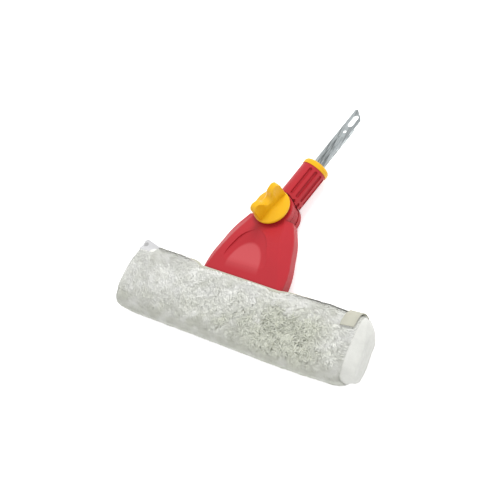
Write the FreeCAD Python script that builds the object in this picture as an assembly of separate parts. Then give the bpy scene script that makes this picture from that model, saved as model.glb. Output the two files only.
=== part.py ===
import FreeCAD, Part
import math
import os

V = FreeCAD.Vector

# Window strip washer lying on its back: a fleece sleeve on a bar, a fan-shaped housing, a swivelling handle.
# X runs along the sleeve, Y up the fan, Z out of the front. The origin is on the sleeve's flat back,
# under the middle of the bar. All sizes are in millimetres and degrees.

# Clearances that more than one piece uses
overrun = 3.0
seat_gap = 0.3
slip_gap = 0.2
running_gap = 0.06
face_gap = 0.1

# Fleece sleeve
sleeve_margin_left = 7.0
sleeve_margin_right = 13.0
sleeve_height = 92.0
sleeve_thickness = 50.0
back_flat_depth = 0.5
backing_thickness = 1.2
backing_slip = 0.5
panel_bulge_left = 5.0
panel_bulge_right = 14.0
panel_drop = 5.0
hem_thickness = 1.6
hem_root_share = 0.3
hem_cover = 1.0
hem_rear_stand = 3.0
slit_half_gap = 0.4
slit_left_shut = 27.6
slit_right_shut = 26.1
slit_end_gap = 0.6
roundness_share = 0.62
# soft lumps of the pile on its front, and how far each stands out, taken in turn along and round
pile_lump = 1.1
pile_lump_pitch = 16.0
pile_lump_shares = [0.5, -0.6, 0.9, -0.2, 0.2, -1.0, 0.6]
lump_zone_share = 0.87
# places along the sleeve, then the height, the thickness and the lift of the section there, as shares
sleeve_section_shares = [
    (-1.0, 0.86, 0.80, 0.022), (-0.975, 0.96, 0.92, 0.020), (-0.90, 1.02, 0.985, 0.018),
    (-0.70, 1.025, 1.0, 0.014), (-0.30, 0.995, 1.0, 0.0), (0.10, 0.985, 0.99, -0.008),
    (0.45, 0.965, 1.0, -0.020), (0.75, 0.958, 0.99, -0.025), (0.92, 0.958, 0.985, -0.024),
    (0.98, 0.94, 0.955, -0.022), (1.0, 0.92, 0.93, -0.020),
]
# the right end's middle and far sections: place along the bulge, size and share of the drop
panel_right_shares = [(0.62, 0.93, 0.4), (1.0, 0.74, 1.0)]
panel_left_shares = [(0.66, 0.887, 0.0), (1.0, 0.66, 0.0)]

# Press stud on its cloth tab at the left end
stud_radius = 4.0
stud_dome = 1.6
stud_stem_radius = 1.6
socket_thickness = 1.4
tab_thickness = 1.6
tab_width = 29.0
tab_height = 17.0
tab_fall = 6.5
tab_corner = 3.5
tab_overhang = 5.5
tab_front = 16.0
tab_stand = 8.5
stud_inset = 5.6
stud_drop = 9.0
stud_room = 0.9

# Strap over the right end
strap_width = 13.0
strap_inset = 2.0
strap_back = 6.0
strap_thickness = 1.5
hook_tape_thickness = 1.1
hook_tape_margin = 1.5
strap_reach_down = 27.0

# Bar inside the sleeve
bar_length = 318.0
bar_height = 52.0
bar_thickness = 18.0
bar_wall = 2.2
bar_corner = 7.0
bar_cap_plate = 1.6
bar_cap_plug = 8.0

# Fan-shaped housing in two shells
hub_y = 143.0
hub_radius = 27.0
hub_edge_round = 1.6
hub_half_thickness = 17.0
fan_half_width = 62.0
fan_foot_share = 0.86
fan_edge_round = 3.0
fan_crease_round = 6.0
shell_wall = 2.6
web_thickness = 2.0
tenon_half_width = 45.0
tenon_half_thickness = 6.0
tenon_depth = 16.0
tenon_recess_wall = 3.0
# height up the fan, half width, crease, height of the front side, of the front face and of the rear side
fan_section_shares = [
    (0.0, 1.0, 0.96, 0.80, 0.96, 0.20), (0.17, 0.998, 0.893, 0.78, 1.05, 0.19),
    (0.34, 0.962, 0.77, 0.76, 1.25, 0.18), (0.50, 0.877, 0.648, 0.75, 1.34, 0.18),
    (0.66, 0.788, 0.532, 0.74, 1.28, 0.18), (0.78, 0.685, 0.452, 0.73, 1.11, 0.18),
    (0.90, 0.56, 0.377, 0.72, 1.0, 0.18),
]
cavity_top_share = 0.73
tangent_share = 0.45
arch_half_width = 33.0
arch_shift = -4.0
arch_top_drop = 34.0
arch_foot_height = 29.0
arch_side_band = 7.0
arch_top_band = 18.5
# half of the pointed arch, from its foot to its top: half width and height
arch_line_shares = [(1.0, 0.0), (0.94, 0.26), (0.77, 0.52), (0.45, 0.84), (0.0, 1.0)]
arch_depth = 5.0
arch_foot_lift = 0.4
arch_lip = 1.0

# Screws
shell_screw_radius = 1.5
shell_screw_head_radius = 3.4
shell_screw_head_height = 2.2
shell_screw_length = 20.0
shell_boss_radius = 4.4
# places of the four screws as shares of the fan's half width and height
shell_screw_shares = [(-0.66, 0.17), (0.66, 0.17), (-0.50, 0.53), (0.50, 0.53)]
bar_screw_radius = 1.8
bar_screw_head_radius = 3.6
bar_screw_head_height = 2.0
bar_screw_length = 12.0
bar_screw_spacing = 60.0

# Swivel joint
handle_lean = 15.0
swing_limit = 60.0
tongue_eye_radius = 26.4
tongue_thickness = 12.0
tongue_neck_width = 22.0
disc_thickness = 1.5
disc_radius = 19.0
bush_radius = 6.5
bolt_radius = 4.0
bolt_head_flats = 13.0
bolt_head_height = 5.3
bolt_head_sink = 0.8
back_boss_radius = 15.0

# Wing knob, its insert and washer
knob_radius = 25.8
knob_base_radius = 19.5
knob_base_height = 3.4
knob_rim_height = 4.2
knob_crown_height = 5.0
wing_angle = 70.0
wing_half_span = 24.3
wing_lobe_offset = 17.2
wing_lobe_radius = 7.5
wing_height = 30.0
wing_saddle_height = 19.0
wing_notch_share = 0.45
wing_shoulder_share = 0.42
wing_brow_share = 0.28
wing_thickness = 13.6
wing_tip_thickness = 8.6
finger_radius = 15.0
finger_depth = 2.4
insert_radius = 6.5
insert_length = 12.0
bolt_engagement = 13.0
dome_share = 0.72
washer_radius = 12.0
washer_thickness = 1.6

# Handle
collar_gap = 1.0
collar_end = 79.0
collar_radius = 18.3
collar_wall = 5.2
rib_start = 27.5
rib_width = 3.2
flute_pitch = 28.0
flute_first = 20.0
flute_count = 11
flute_width = 4.6
flute_depth = 3.0
flute_top_margin = 3.5
ring_height = 8.5
ring_overhang = 0.8
ring_dome = 4.5
ring_mouth_width = 21.0
ring_mouth_depth = 8.0

# Steel tang
tang_width = 18.0
tang_depth = 4.0
tang_steel = 1.5
tang_start = 46.0
tang_tip = 188.0
tang_tip_slant = 12.0
tang_tip_corner = 3.0
flange_end_margin = 30.0
tang_slot_width = 8.0
tang_slot_length = 20.0
tang_slot_place = 168.0
tang_hole_radius = 2.4
tang_hole_place = 149.0
rib_radius = 1.1
rib_spacing = 6.4
rib_end_place = 140.0
rib_start_gap = 1.2
pin_radius = 2.0
pin_places = (52.0, 66.0)

# Heights and places that follow from the sizes above
sleeve_left = bar_length / 2 + sleeve_margin_left
sleeve_right = bar_length / 2 + sleeve_margin_right
mid_z = sleeve_thickness / 2
bar_top = bar_height / 2
fan_height = hub_y - bar_top
pocket_half = tongue_thickness / 2 + disc_thickness + 2 * face_gap
eye_pocket_radius = tongue_eye_radius + seat_gap
hub_front = mid_z + hub_half_thickness
hub_back = mid_z - hub_half_thickness
plug_radius = collar_radius - collar_wall - slip_gap
knob_bottom = hub_front + washer_thickness + 2 * face_gap
knob_rim_z = knob_bottom + knob_base_height
bolt_top = knob_bottom + bolt_engagement
backing_inner_height = bar_height / 2 + backing_slip
backing_inner_thickness = bar_thickness / 2 + backing_slip
backing_half_length = bar_length / 2 + bar_cap_plate + seat_gap
crest = mid_z + hub_half_thickness * max(row[4] for row in fan_section_shares)


def box(x0, x1, y0, y1, z0, z1):
    return Part.makeBox(x1 - x0, y1 - y0, z1 - z0, V(x0, y0, z0))


def rod(radius, z0, z1, x=0, y=0):
    """Round bar along Z."""
    return Part.makeCylinder(radius, z1 - z0, V(x, y, z0))


def long_rod(radius, y0, y1, x=0, z=0):
    """Round bar along Y."""
    return Part.makeCylinder(radius, y1 - y0, V(x, y0, z), V(0, 1, 0))


def arc(first, middle, last):
    return Part.Arc(first, middle, last).toShape()


def line(first, last):
    return Part.LineSegment(first, last).toShape()


def prism(points, z0, z1):
    """Polygon of (x, y) points carried from z0 up to z1."""
    corners = [V(x, y, z0) for x, y in points]
    return Part.Face(Part.makePolygon(corners + corners[:1])).extrude(V(0, 0, z1 - z0))


def hexagon(flats, z0, z1):
    reach = flats / math.sqrt(3)
    turns = [math.radians(60 * k) for k in range(6)]
    return prism([(reach * math.cos(a), reach * math.sin(a)) for a in turns], z0, z1)


def at_hub(shape):
    return shape.translated(V(0, hub_y, 0))


def on_handle(shape):
    """A shape built with the hub at the origin and the handle straight up Y, leaned and put in place."""
    shape = shape.copy()
    shape.rotate(V(0, 0, 0), V(0, 0, 1), -handle_lean)
    return shape.translated(V(0, hub_y, mid_z))


def save(name, shape):
    shape.exportStep("parts/" + name + ".step")


def soft_section(x, half_height, half_thickness, lift, row=None):
    """Round-cornered section of the sleeve at x: eight arcs through points of one superellipse."""
    def point(angle):
        c = math.cos(math.radians(angle))
        s = math.sin(math.radians(angle))
        out = lump(row, angle) * max(s, 0) if row is not None else 0
        y = (half_height + out) * math.copysign(abs(c) ** roundness_share, c)
        z = (half_thickness + out) * math.copysign(abs(s) ** roundness_share, s)
        return V(x, y + lift, mid_z + z)
    bounds = [-20, 20, 70, 110, 160, 200, 250, 290, 340]
    return Part.Wire([arc(point(a), point((a + b) / 2), point(b)) for a, b in zip(bounds, bounds[1:])])


def lump(row, angle):
    """How far the pile stands out of its even form at one row and angle."""
    turn = row * 3 + int(angle / 22) * 2
    return pile_lump * pile_lump_shares[turn % len(pile_lump_shares)]


def sleeve_shares(place):
    """Height, thickness and lift of the sleeve at a place, between the named sections."""
    for low, high in zip(sleeve_section_shares, sleeve_section_shares[1:]):
        if place <= high[0]:
            part = (place - low[0]) / (high[0] - low[0])
            return [a + (b - a) * part for a, b in zip(low[1:], high[1:])]


def sleeve_form(grow):
    """The sleeve's outer form, drawn in at both ends and grown outwards by a thickness."""
    middle = (sleeve_right - sleeve_left) / 2
    half = (sleeve_right + sleeve_left) / 2
    count = round(2 * half * lump_zone_share / pile_lump_pitch)
    rows = [(lump_zone_share * (2 * k / count - 1), k) for k in range(count + 1)]
    rows += [(row[0], None) for row in sleeve_section_shares if abs(row[0]) > lump_zone_share]
    sections = []
    for place, row in sorted(rows, key=lambda entry: entry[0]):
        high, thick, lift = sleeve_shares(place)
        half_height = sleeve_height / 2 * high + grow
        half_thickness = (sleeve_thickness / 2 + back_flat_depth) * thick + grow
        x = middle + half * place
        sections.append(soft_section(x, half_height, half_thickness, lift * sleeve_height, row))
    return Part.makeLoft(sections, True, False)


def bar_section(x, half_height, half_thickness, corner):
    """Rounded rectangle of the bar at x."""
    y = half_height - corner
    z = half_thickness - corner
    bend = corner * math.sqrt(0.5)
    edges = []
    for sy, sz in ((1, 1), (-1, 1), (-1, -1), (1, -1)):
        side = V(x, sy * half_height, mid_z + sz * z)
        top = V(x, sy * y, mid_z + sz * half_thickness)
        middle = V(x, sy * (y + bend), mid_z + sz * (z + bend))
        if sy * sz > 0:
            edges += [arc(side, middle, top), line(top, V(x, -sy * y, mid_z + sz * half_thickness))]
        else:
            edges += [arc(top, middle, side), line(side, V(x, sy * half_height, mid_z - sz * z))]
    return Part.Wire(edges)


def bar_form(half_length, half_height, half_thickness, corner):
    face = Part.Face(bar_section(-half_length, half_height, half_thickness, corner))
    return face.extrude(V(2 * half_length, 0, 0))


def bar_grown(half_length, grow):
    return bar_form(half_length, bar_height / 2 + grow, bar_thickness / 2 + grow, bar_corner + grow)


def face_rise(drop):
    """Height of the fan's flat rear face from the parting plane, at a distance below the hub's centre."""
    return hub_half_thickness * (1 - (1 - fan_foot_share) * drop / fan_height)


def front_rise(drop):
    """Height of the fan's crowned front face over the parting plane, between the named sections."""
    share = 1 - drop / fan_height
    for low, high in zip(fan_section_shares, fan_section_shares[1:]):
        if share <= high[0]:
            part = max(share - low[0], 0) / (high[0] - low[0])
            return hub_half_thickness * (low[4] + (high[4] - low[4]) * part)
    return hub_half_thickness


def rounded_outline(corners, radii):
    """Closed outline through corners, with a tangent arc at each corner that has a radius."""
    joins = []
    count = len(corners)
    for k in range(count):
        corner = corners[k]
        back = corners[k - 1] - corner
        ahead = corners[(k + 1) % count] - corner
        if not radii[k]:
            joins.append((corner, None, corner))
            continue
        turn = math.pi - back.getAngle(ahead)
        room = min(back.Length, ahead.Length) * tangent_share
        reach = min(radii[k] * math.tan(turn / 2), room)
        radius = reach / math.tan(turn / 2)
        back.normalize()
        ahead.normalize()
        inward = (back + ahead).normalize()
        middle = corner + inward * (radius / math.cos(turn / 2) - radius)
        joins.append((corner + back * reach, middle, corner + ahead * reach))
    edges = []
    for k in range(count):
        first, middle, last = joins[k]
        if middle:
            edges.append(arc(first, middle, last))
        edges.append(line(last, joins[(k + 1) % count][0]))
    return Part.Wire(edges)


def fan_section(share, inset, side):
    """Half section of the fan on one side of the parting plane; side is 1 in front and -1 behind."""
    place, edge, crease, front_flank, front_face, rear_flank = share
    y = bar_top + place * fan_height
    edge = edge * fan_half_width - inset
    crease = crease * fan_half_width - inset
    rise = front_face * hub_half_thickness if side > 0 else face_rise(hub_y - y)
    flank_rise = (front_flank if side > 0 else rear_flank) * hub_half_thickness
    face = mid_z + side * (rise - inset)
    flank = mid_z + side * (flank_rise - inset / 2)
    points = [(-edge, mid_z), (-edge, flank), (-crease, face), (crease, face), (edge, flank), (edge, mid_z)]
    edge_round = fan_edge_round - inset / 2
    crease_round = fan_crease_round - inset / 2
    radii = [0, edge_round, crease_round, crease_round, edge_round, 0]
    return rounded_outline([V(x, y, z) for x, z in points], radii)


def fan_form(inset, side, low_share=0.0, top_share=1.0):
    """One half of the fan between two shares of its height, drawn in by an inset."""
    solid = Part.makeLoft([fan_section(s, inset, side) for s in fan_section_shares], True, False)
    low = bar_top + low_share * fan_height
    top = bar_top + top_share * fan_height
    width = fan_half_width + overrun
    return solid.common(box(-width, width, low, top, hub_back - overrun, crest + overrun))


def arch_wire(half_width, top_drop, foot_drop, top_z, foot_z):
    """Closed pointed arch below the hub, in a plane that tilts from its foot's height to its top's."""
    def point(x, rise):
        y = hub_y - foot_drop + (foot_drop - top_drop) * rise
        return V(arch_shift + x * half_width, y, foot_z + (top_z - foot_z) * rise)
    right = [point(x, rise) for x, rise in arch_line_shares]
    left = [point(-x, rise) for x, rise in arch_line_shares]
    return Part.Wire([
        line(left[0], right[0]), arc(right[0], right[1], right[2]), arc(right[2], right[3], right[4]),
        arc(left[4], left[3], left[2]), arc(left[2], left[1], left[0]),
    ])


def arch_form(grow, drop):
    """The sunken arch's hollow, or with a wall added, the pad behind it."""
    foot = fan_height - arch_foot_height
    foot_z = mid_z + front_rise(foot)
    panel_top = arch_top_drop + arch_top_band
    panel_z = mid_z + front_rise(panel_top) - arch_depth
    above = arch_wire(arch_half_width + grow, arch_top_drop - grow, foot + grow,
                      mid_z + front_rise(arch_top_drop) + seat_gap, foot_z + arch_lip)
    below = arch_wire(arch_half_width - arch_side_band + grow, panel_top - grow, foot + grow,
                      panel_z - drop, foot_z + arch_foot_lift - drop)
    mouth = Part.Face(above).extrude(V(0, 0, overrun))
    return Part.makeLoft([above, below], True, True).fuse(mouth)


def screw_places():
    """Each shell screw's x and y, and the height of the rear face there."""
    places = [(x * fan_half_width, bar_top + y * fan_height) for x, y in shell_screw_shares]
    return [(x, y, mid_z - face_rise(hub_y - y)) for x, y in places]


def swing_window(z0, z1):
    """The open gap between the hub plates, above the fan's shoulder, that the tongue swings in."""
    reach = hub_radius + overrun
    shoulder = bar_top + fan_section_shares[-1][0] * fan_height
    return box(-reach, reach, shoulder, hub_y + reach, z0, z1)


def hub_form(low, high, side):
    """Round hub plate with its outer edge rounded over."""
    outer = high if side > 0 else low
    inner = low if side > 0 else high
    turn = hub_edge_round
    bend = turn * (1 - math.sqrt(0.5))
    edge = arc(V(hub_radius, 0, outer - side * turn), V(hub_radius - bend, 0, outer - side * bend),
               V(hub_radius - turn, 0, outer))
    outline = [line(V(0, 0, inner), V(hub_radius, 0, inner)),
               line(V(hub_radius, 0, inner), V(hub_radius, 0, outer - side * turn)), edge,
               line(V(hub_radius - turn, 0, outer), V(0, 0, outer)), line(V(0, 0, outer), V(0, 0, inner))]
    return at_hub(Part.Face(Part.Wire(outline)).revolve(V(0, 0, 0), V(0, 0, 1), 360))


def shell(side):
    """One half of the housing: fan, hub plate and half tenon, hollowed, with bosses and a web."""
    low, high = (mid_z, hub_front) if side > 0 else (hub_back, mid_z)
    tenon_low, tenon_high = sorted((mid_z, mid_z + side * tenon_half_thickness))
    foot = bar_top - tenon_depth
    tenon = box(-tenon_half_width, tenon_half_width, foot, bar_top + overrun, tenon_low, tenon_high)
    body = fan_form(0, side).fuse([hub_form(low, high, side), tenon])
    floor_share = shell_wall / fan_height
    cavity = fan_form(shell_wall, side, floor_share, cavity_top_share)
    for x, y, back in screw_places():
        cavity = cavity.cut(rod(shell_boss_radius, hub_back, crest, x, y))
    cavity = cavity.cut(box(-web_thickness / 2, web_thickness / 2, 0, hub_y, hub_back, crest))
    if side > 0:
        cavity = cavity.cut(arch_form(shell_wall, shell_wall))
    body = body.cut(cavity)
    pocket_low, pocket_high = sorted((mid_z, mid_z + side * pocket_half))
    body = body.cut(at_hub(rod(eye_pocket_radius, pocket_low, pocket_high)))
    body = body.cut(swing_window(pocket_low, pocket_high))
    return body.cut(at_hub(rod(bolt_radius + slip_gap, low - overrun, high + overrun)))


def front_shell():
    body = shell(1).cut(arch_form(0, 0))
    for x, y, back in screw_places():
        top = back + shell_screw_head_height + shell_screw_length + slip_gap
        body = body.cut(rod(shell_screw_radius, mid_z - overrun, top, x, y))
    body = body.cut(bar_screw_holes(bar_screw_radius))
    return body


def rear_shell():
    body = shell(-1).fuse(at_hub(rod(back_boss_radius, 0, hub_back + face_gap)))
    pocket_top = bolt_head_sink + bolt_head_height
    body = body.cut(at_hub(hexagon(bolt_head_flats + 2 * slip_gap, -overrun, pocket_top)))
    body = body.cut(at_hub(rod(bolt_radius + slip_gap, 0, mid_z)))
    for x, y, back in screw_places():
        seat = back + shell_screw_head_height + slip_gap
        body = body.cut(rod(shell_screw_radius + slip_gap, back - overrun, mid_z + overrun, x, y))
        body = body.cut(rod(shell_screw_head_radius + slip_gap, 0, seat, x, y))
    return body.cut(bar_screw_holes(bar_screw_radius))


def shell_screws():
    """Four pan-head screws that come in from behind."""
    screws = []
    for x, y, back in screw_places():
        seat = back + shell_screw_head_height + slip_gap
        head = rod(shell_screw_head_radius, seat - shell_screw_head_height, seat, x, y)
        screws.append(head.fuse(rod(shell_screw_radius, seat - slip_gap, seat + shell_screw_length, x, y)))
    return Part.makeCompound(screws)


def bar_screw_places():
    y = bar_top - tenon_depth / 2
    return [(-bar_screw_spacing / 2, y), (bar_screw_spacing / 2, y)]


def bar_screw(x, y, grow):
    """Countersunk screw through the bar's back wall, grown for its hole."""
    back = mid_z - bar_thickness / 2
    radius = bar_screw_radius + grow
    head = Part.makeCone(bar_screw_head_radius + grow, radius, bar_screw_head_height, V(x, y, back))
    return head.fuse(rod(radius, back, back + bar_screw_length + grow, x, y))


def bar_screw_holes(radius):
    back = mid_z - bar_thickness / 2
    holes = [rod(radius, back, back + bar_screw_length + slip_gap, x, y) for x, y in bar_screw_places()]
    return holes[0].fuse(holes[1:])


def bar_screws():
    return Part.makeCompound([bar_screw(x, y, 0) for x, y in bar_screw_places()])


def t_bar():
    half = bar_length / 2
    body = bar_grown(half, 0).cut(bar_grown(half + overrun, -bar_wall))
    width = tenon_half_width + slip_gap
    height = tenon_half_thickness + slip_gap
    body = body.cut(box(-width, width, 0, bar_top + overrun, mid_z - height, mid_z + height))
    for x, y in bar_screw_places():
        body = body.cut(bar_screw(x, y, slip_gap))
    return body


def bar_cap(side):
    """End plug of the bar: a plate outside and a plug inside."""
    half = bar_length / 2
    plate = bar_grown(half + bar_cap_plate, 0).cut(bar_grown(half, overrun))
    plug = bar_grown(half, -bar_wall - slip_gap).cut(bar_grown(half - bar_cap_plug, overrun))
    body = plate.fuse(plug)
    reach = bar_length
    low, high = (0, reach) if side > 0 else (-reach, 0)
    return body.common(box(low, high, -reach, reach, -reach, reach))


def fan_slot():
    """The opening in the sleeve's top edge that the fan comes out of."""
    return fan_form(-seat_gap, 1).fuse(fan_form(-seat_gap, -1))


def sleeve_backing():
    inner = bar_form(backing_half_length + overrun, backing_inner_height, backing_inner_thickness,
                     bar_corner + backing_slip)
    grow = backing_slip + backing_thickness
    outer = bar_grown(backing_half_length, grow)
    return outer.cut(inner).cut(fan_slot()).cut(tenon_way())


def tenon_way():
    """Room around the foot of the fan where the cloth is cut open."""
    width = fan_half_width + seat_gap
    height = fan_foot_share * hub_half_thickness + seat_gap
    foot = box(-width, width, bar_top - seat_gap, bar_top + overrun, mid_z - height, mid_z + height)
    width = tenon_half_width + slip_gap
    height = tenon_half_thickness + slip_gap
    return foot.fuse(box(-width, width, 0, bar_top + overrun, mid_z - height, mid_z + height))


def slit_line(side, outward, longer=0):
    """Points (x, z) along one lip of the sleeve's slit: closed at the ends, spread round the fan."""
    wide = fan_half_width + seat_gap
    shut = slit_half_gap + outward
    rise = front_rise if side > 0 else face_rise
    spread = rise(hub_y - sleeve_height / 2) + seat_gap + outward
    left = sleeve_left + tab_overhang - tab_width - slit_end_gap
    right = sleeve_right - strap_inset - strap_width - slit_end_gap
    places = [(-left - longer, shut), (slit_left_shut - left, shut), (-wide, spread), (wide, spread),
              (right - slit_right_shut, shut), (right + longer, shut)]
    return [(x, mid_z + side * z) for x, z in places]


def upright(points, y0, y1):
    """Polygon of (x, z) points carried from y0 up to y1."""
    corners = [V(x, y0, z) for x, z in points]
    return Part.Face(Part.makePolygon(corners + corners[:1])).extrude(V(0, y1 - y0, 0))


def hem_foot():
    return bar_top + (sleeve_height / 2 - bar_top) * hem_root_share


def front_hem():
    """Folded tape along the front lip of the slit, its top just under the pile's surface."""
    outline = slit_line(1, 0) + slit_line(1, hem_thickness)[::-1]
    return upright(outline, hem_foot(), sleeve_height).common(sleeve_form(-hem_cover))


def rear_hem():
    """Folded tape along the rear lip, behind the fan and a little higher."""
    outline = slit_line(-1, 0) + slit_line(-1, hem_thickness)[::-1]
    return upright(outline, hem_foot(), sleeve_height / 2 + hem_rear_stand)


def slit_room():
    """The open slit in the fleece, with the hems on its two walls."""
    grown = hem_thickness + seat_gap
    outline = slit_line(1, grown, seat_gap) + slit_line(-1, grown, seat_gap)[::-1]
    return upright(outline, hem_foot() - seat_gap, sleeve_height)


def end_panel(side):
    """Smooth cloth end that bulges outwards, lower on the open right-hand end."""
    place, high, thick, lift = sleeve_section_shares[-1 if side > 0 else 0]
    start = sleeve_right if side > 0 else sleeve_left
    bulge = panel_bulge_right if side > 0 else panel_bulge_left
    half_height = sleeve_height / 2 * high
    half_thickness = (sleeve_thickness / 2 + back_flat_depth) * thick
    sections = [soft_section(side * (start + seat_gap), half_height, half_thickness, lift * sleeve_height)]
    for along, size, fall in panel_right_shares if side > 0 else panel_left_shares:
        low = lift * sleeve_height - fall * panel_drop
        x = side * (start + bulge * along)
        sections.append(soft_section(x, half_height * size, half_thickness * size, low))
    return Part.makeLoft(sections, True, False)


def tab_corners():
    """The tab's outer edge in X, its top in Y and its front in Z."""
    return -sleeve_left - tab_overhang, sleeve_height / 2 + tab_stand, mid_z + tab_front


def stud_place():
    """Middle of the press stud, near the tab's outer top corner."""
    edge, top, z = tab_corners()
    return edge + stud_inset, top - stud_drop, z


def stud_tab():
    """Cloth corner at the left end that stands out of the fleece and carries the stud."""
    edge, top, z = tab_corners()
    x, y, z = stud_place()
    low = top - tab_height
    outline = [(edge, low), (edge + tab_width, low), (edge + tab_width, top - tab_fall),
               (edge + tab_corner, top), (edge, top - tab_corner)]
    body = prism(outline, z - tab_thickness, z)
    return body.cut(rod(stud_stem_radius + slip_gap, z - tab_thickness - overrun, z + overrun, x, y))


def stud_tab_pocket():
    """Step in the fleece for the tab and the inner half of the stud."""
    edge, top, z = tab_corners()
    low = top - tab_height - seat_gap
    back = z - tab_thickness - socket_thickness - stud_room
    return box(edge - seat_gap, edge + tab_width + seat_gap, low, sleeve_height, back, 2 * sleeve_thickness)


def stud_cap():
    """Domed cap with the stem that goes through the tab."""
    x, y, z = stud_place()
    ball_radius = (stud_radius ** 2 + stud_dome ** 2) / (2 * stud_dome)
    ball = Part.makeSphere(ball_radius, V(x, y, z + stud_dome - ball_radius))
    dome = ball.common(rod(stud_radius, z + face_gap, z + stud_dome + overrun, x, y))
    stem = rod(stud_stem_radius, z - tab_thickness - face_gap - socket_thickness / 2, z + 2 * face_gap, x, y)
    return dome.fuse(stem)


def stud_socket():
    x, y, z = stud_place()
    top = z - tab_thickness - face_gap
    low = top - socket_thickness
    ring = rod(stud_radius, low, top, x, y)
    return ring.cut(rod(stud_stem_radius + slip_gap / 2, low - overrun, top + overrun, x, y))


def strap_zone(margin, reach):
    far = sleeve_right - strap_inset - margin
    near = far - strap_width + 2 * margin
    top = sleeve_height
    low = sleeve_height / 2 - reach + margin
    return box(near, far, low, top, mid_z - strap_back, 2 * sleeve_thickness)


def closure_tab():
    """Strap that follows the fleece over the top corner of the right end."""
    under = seat_gap + hook_tape_thickness + face_gap
    body = sleeve_form(under + strap_thickness).cut(sleeve_form(under))
    return body.common(strap_zone(0, strap_reach_down))


def hook_tape():
    body = sleeve_form(seat_gap + hook_tape_thickness).cut(sleeve_form(seat_gap))
    return body.common(strap_zone(hook_tape_margin, strap_reach_down))


def fleece_pile():
    """The pile: the sleeve's form, cut flat on its back, around the backing."""
    body = sleeve_form(0)
    reach = sleeve_left + sleeve_right
    body = body.cut(box(-reach, reach, -reach, reach, -reach, 0))
    hollow = bar_grown(backing_half_length + seat_gap, backing_slip + backing_thickness + seat_gap)
    body = body.cut(hollow).cut(fan_slot()).cut(tenon_way())
    return body.cut(slit_room()).cut(stud_tab_pocket())


def clamp_bolt():
    """Hexagon bolt whose head is sunk in the rear boss and whose end reaches into the knob."""
    head = hexagon(bolt_head_flats, bolt_head_sink, bolt_head_sink + bolt_head_height - face_gap)
    shank = rod(bolt_radius, bolt_head_sink + bolt_head_height - slip_gap, bolt_top)
    tip = Part.makeCone(bolt_radius, bolt_radius * 3 / 4, bolt_radius / 4, V(0, 0, bolt_top))
    return at_hub(head.fuse([shank, tip]))


def friction_disc(side):
    near = mid_z + side * (tongue_thickness / 2 + face_gap)
    low, high = sorted((near, near + side * disc_thickness))
    return at_hub(rod(disc_radius, low, high).cut(rod(bolt_radius + slip_gap, low - overrun, high + overrun)))


def clamp_washer():
    low = hub_front + face_gap
    ring = rod(washer_radius, low, low + washer_thickness)
    return at_hub(ring.cut(rod(bolt_radius + running_gap, low - overrun, low + washer_thickness + overrun)))


def knob_disc():
    """Turned body of the knob: flared base, thick rim and a low crown."""
    rim_top = knob_rim_z + knob_rim_height
    edge = knob_rim_height / 4
    crown_top = rim_top + knob_crown_height
    bend = V(knob_radius, 0, (knob_rim_z + rim_top) / 2)
    rim = arc(V(knob_radius - edge, 0, knob_rim_z), bend, V(knob_radius - edge, 0, rim_top))
    swell = V(knob_radius / 2, 0, rim_top + knob_crown_height * dome_share)
    dome = arc(V(knob_radius - edge, 0, rim_top), swell, V(0, 0, crown_top))
    outline = [
        line(V(0, 0, knob_bottom), V(knob_base_radius, 0, knob_bottom)),
        line(V(knob_base_radius, 0, knob_bottom), V(knob_radius - edge, 0, knob_rim_z)), rim, dome,
        line(V(0, 0, crown_top), V(0, 0, knob_bottom)),
    ]
    return Part.Face(Part.Wire(outline)).revolve(V(0, 0, 0), V(0, 0, 1), 360)


def wing_outline(y, drop):
    """Two lobes with a saddle between them, seen along Y, with the tops lowered by a drop."""
    foot = knob_rim_z + knob_rim_height / 2
    top = knob_rim_z + wing_height - drop
    saddle = knob_rim_z + wing_saddle_height - drop
    far = wing_half_span - drop / 2
    lobe_z = top - wing_lobe_radius
    bend_z = lobe_z + wing_lobe_radius * math.sqrt(0.5)
    bend_x = wing_lobe_offset + (far - wing_lobe_offset) * math.sqrt(0.5)
    inner = wing_lobe_offset * wing_notch_share
    shoulder = top - (top - saddle) * wing_shoulder_share
    brow_x = (wing_lobe_offset + inner) / 2
    brow_z = top - (top - shoulder) * wing_brow_share

    def p(x, z):
        return V(x, y, z)
    return Part.Wire([
        line(p(-far, foot), p(far, foot)),
        line(p(far, foot), p(far, lobe_z)),
        arc(p(far, lobe_z), p(bend_x, bend_z), p(wing_lobe_offset, top)),
        arc(p(wing_lobe_offset, top), p(brow_x, brow_z), p(inner, shoulder)),
        arc(p(inner, shoulder), p(0, saddle), p(-inner, shoulder)),
        arc(p(-inner, shoulder), p(-brow_x, brow_z), p(-wing_lobe_offset, top)),
        arc(p(-wing_lobe_offset, top), p(-bend_x, bend_z), p(-far, lobe_z)),
        line(p(-far, lobe_z), p(-far, foot)),
    ])


def wing_knob():
    """Disc and wing in one, hollow underneath for the insert and the bolt's end."""
    half = wing_thickness / 2
    bevel = (wing_thickness - wing_tip_thickness) / 2
    wires = [wing_outline(-half, bevel), wing_outline(-half + bevel, 0), wing_outline(half - bevel, 0),
             wing_outline(half, bevel)]
    wing = Part.makeLoft(wires, True, True)
    top = knob_rim_z + wing_height + overrun
    for side in (-1, 1):
        for end in (-1, 1):
            y = side * (half + finger_radius - finger_depth)
            wing = wing.cut(rod(finger_radius, knob_rim_z, top, end * wing_lobe_offset, y))
    wing.rotate(V(0, 0, 0), V(0, 0, 1), wing_angle)
    body = knob_disc().fuse(wing)
    hollow_top = bolt_top + bolt_radius / 2
    insert_top = knob_bottom + insert_length + seat_gap
    body = body.cut(rod(insert_radius + running_gap, knob_bottom - overrun, insert_top))
    return at_hub(body.cut(rod(bolt_radius + slip_gap, knob_bottom, hollow_top)))


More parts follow.
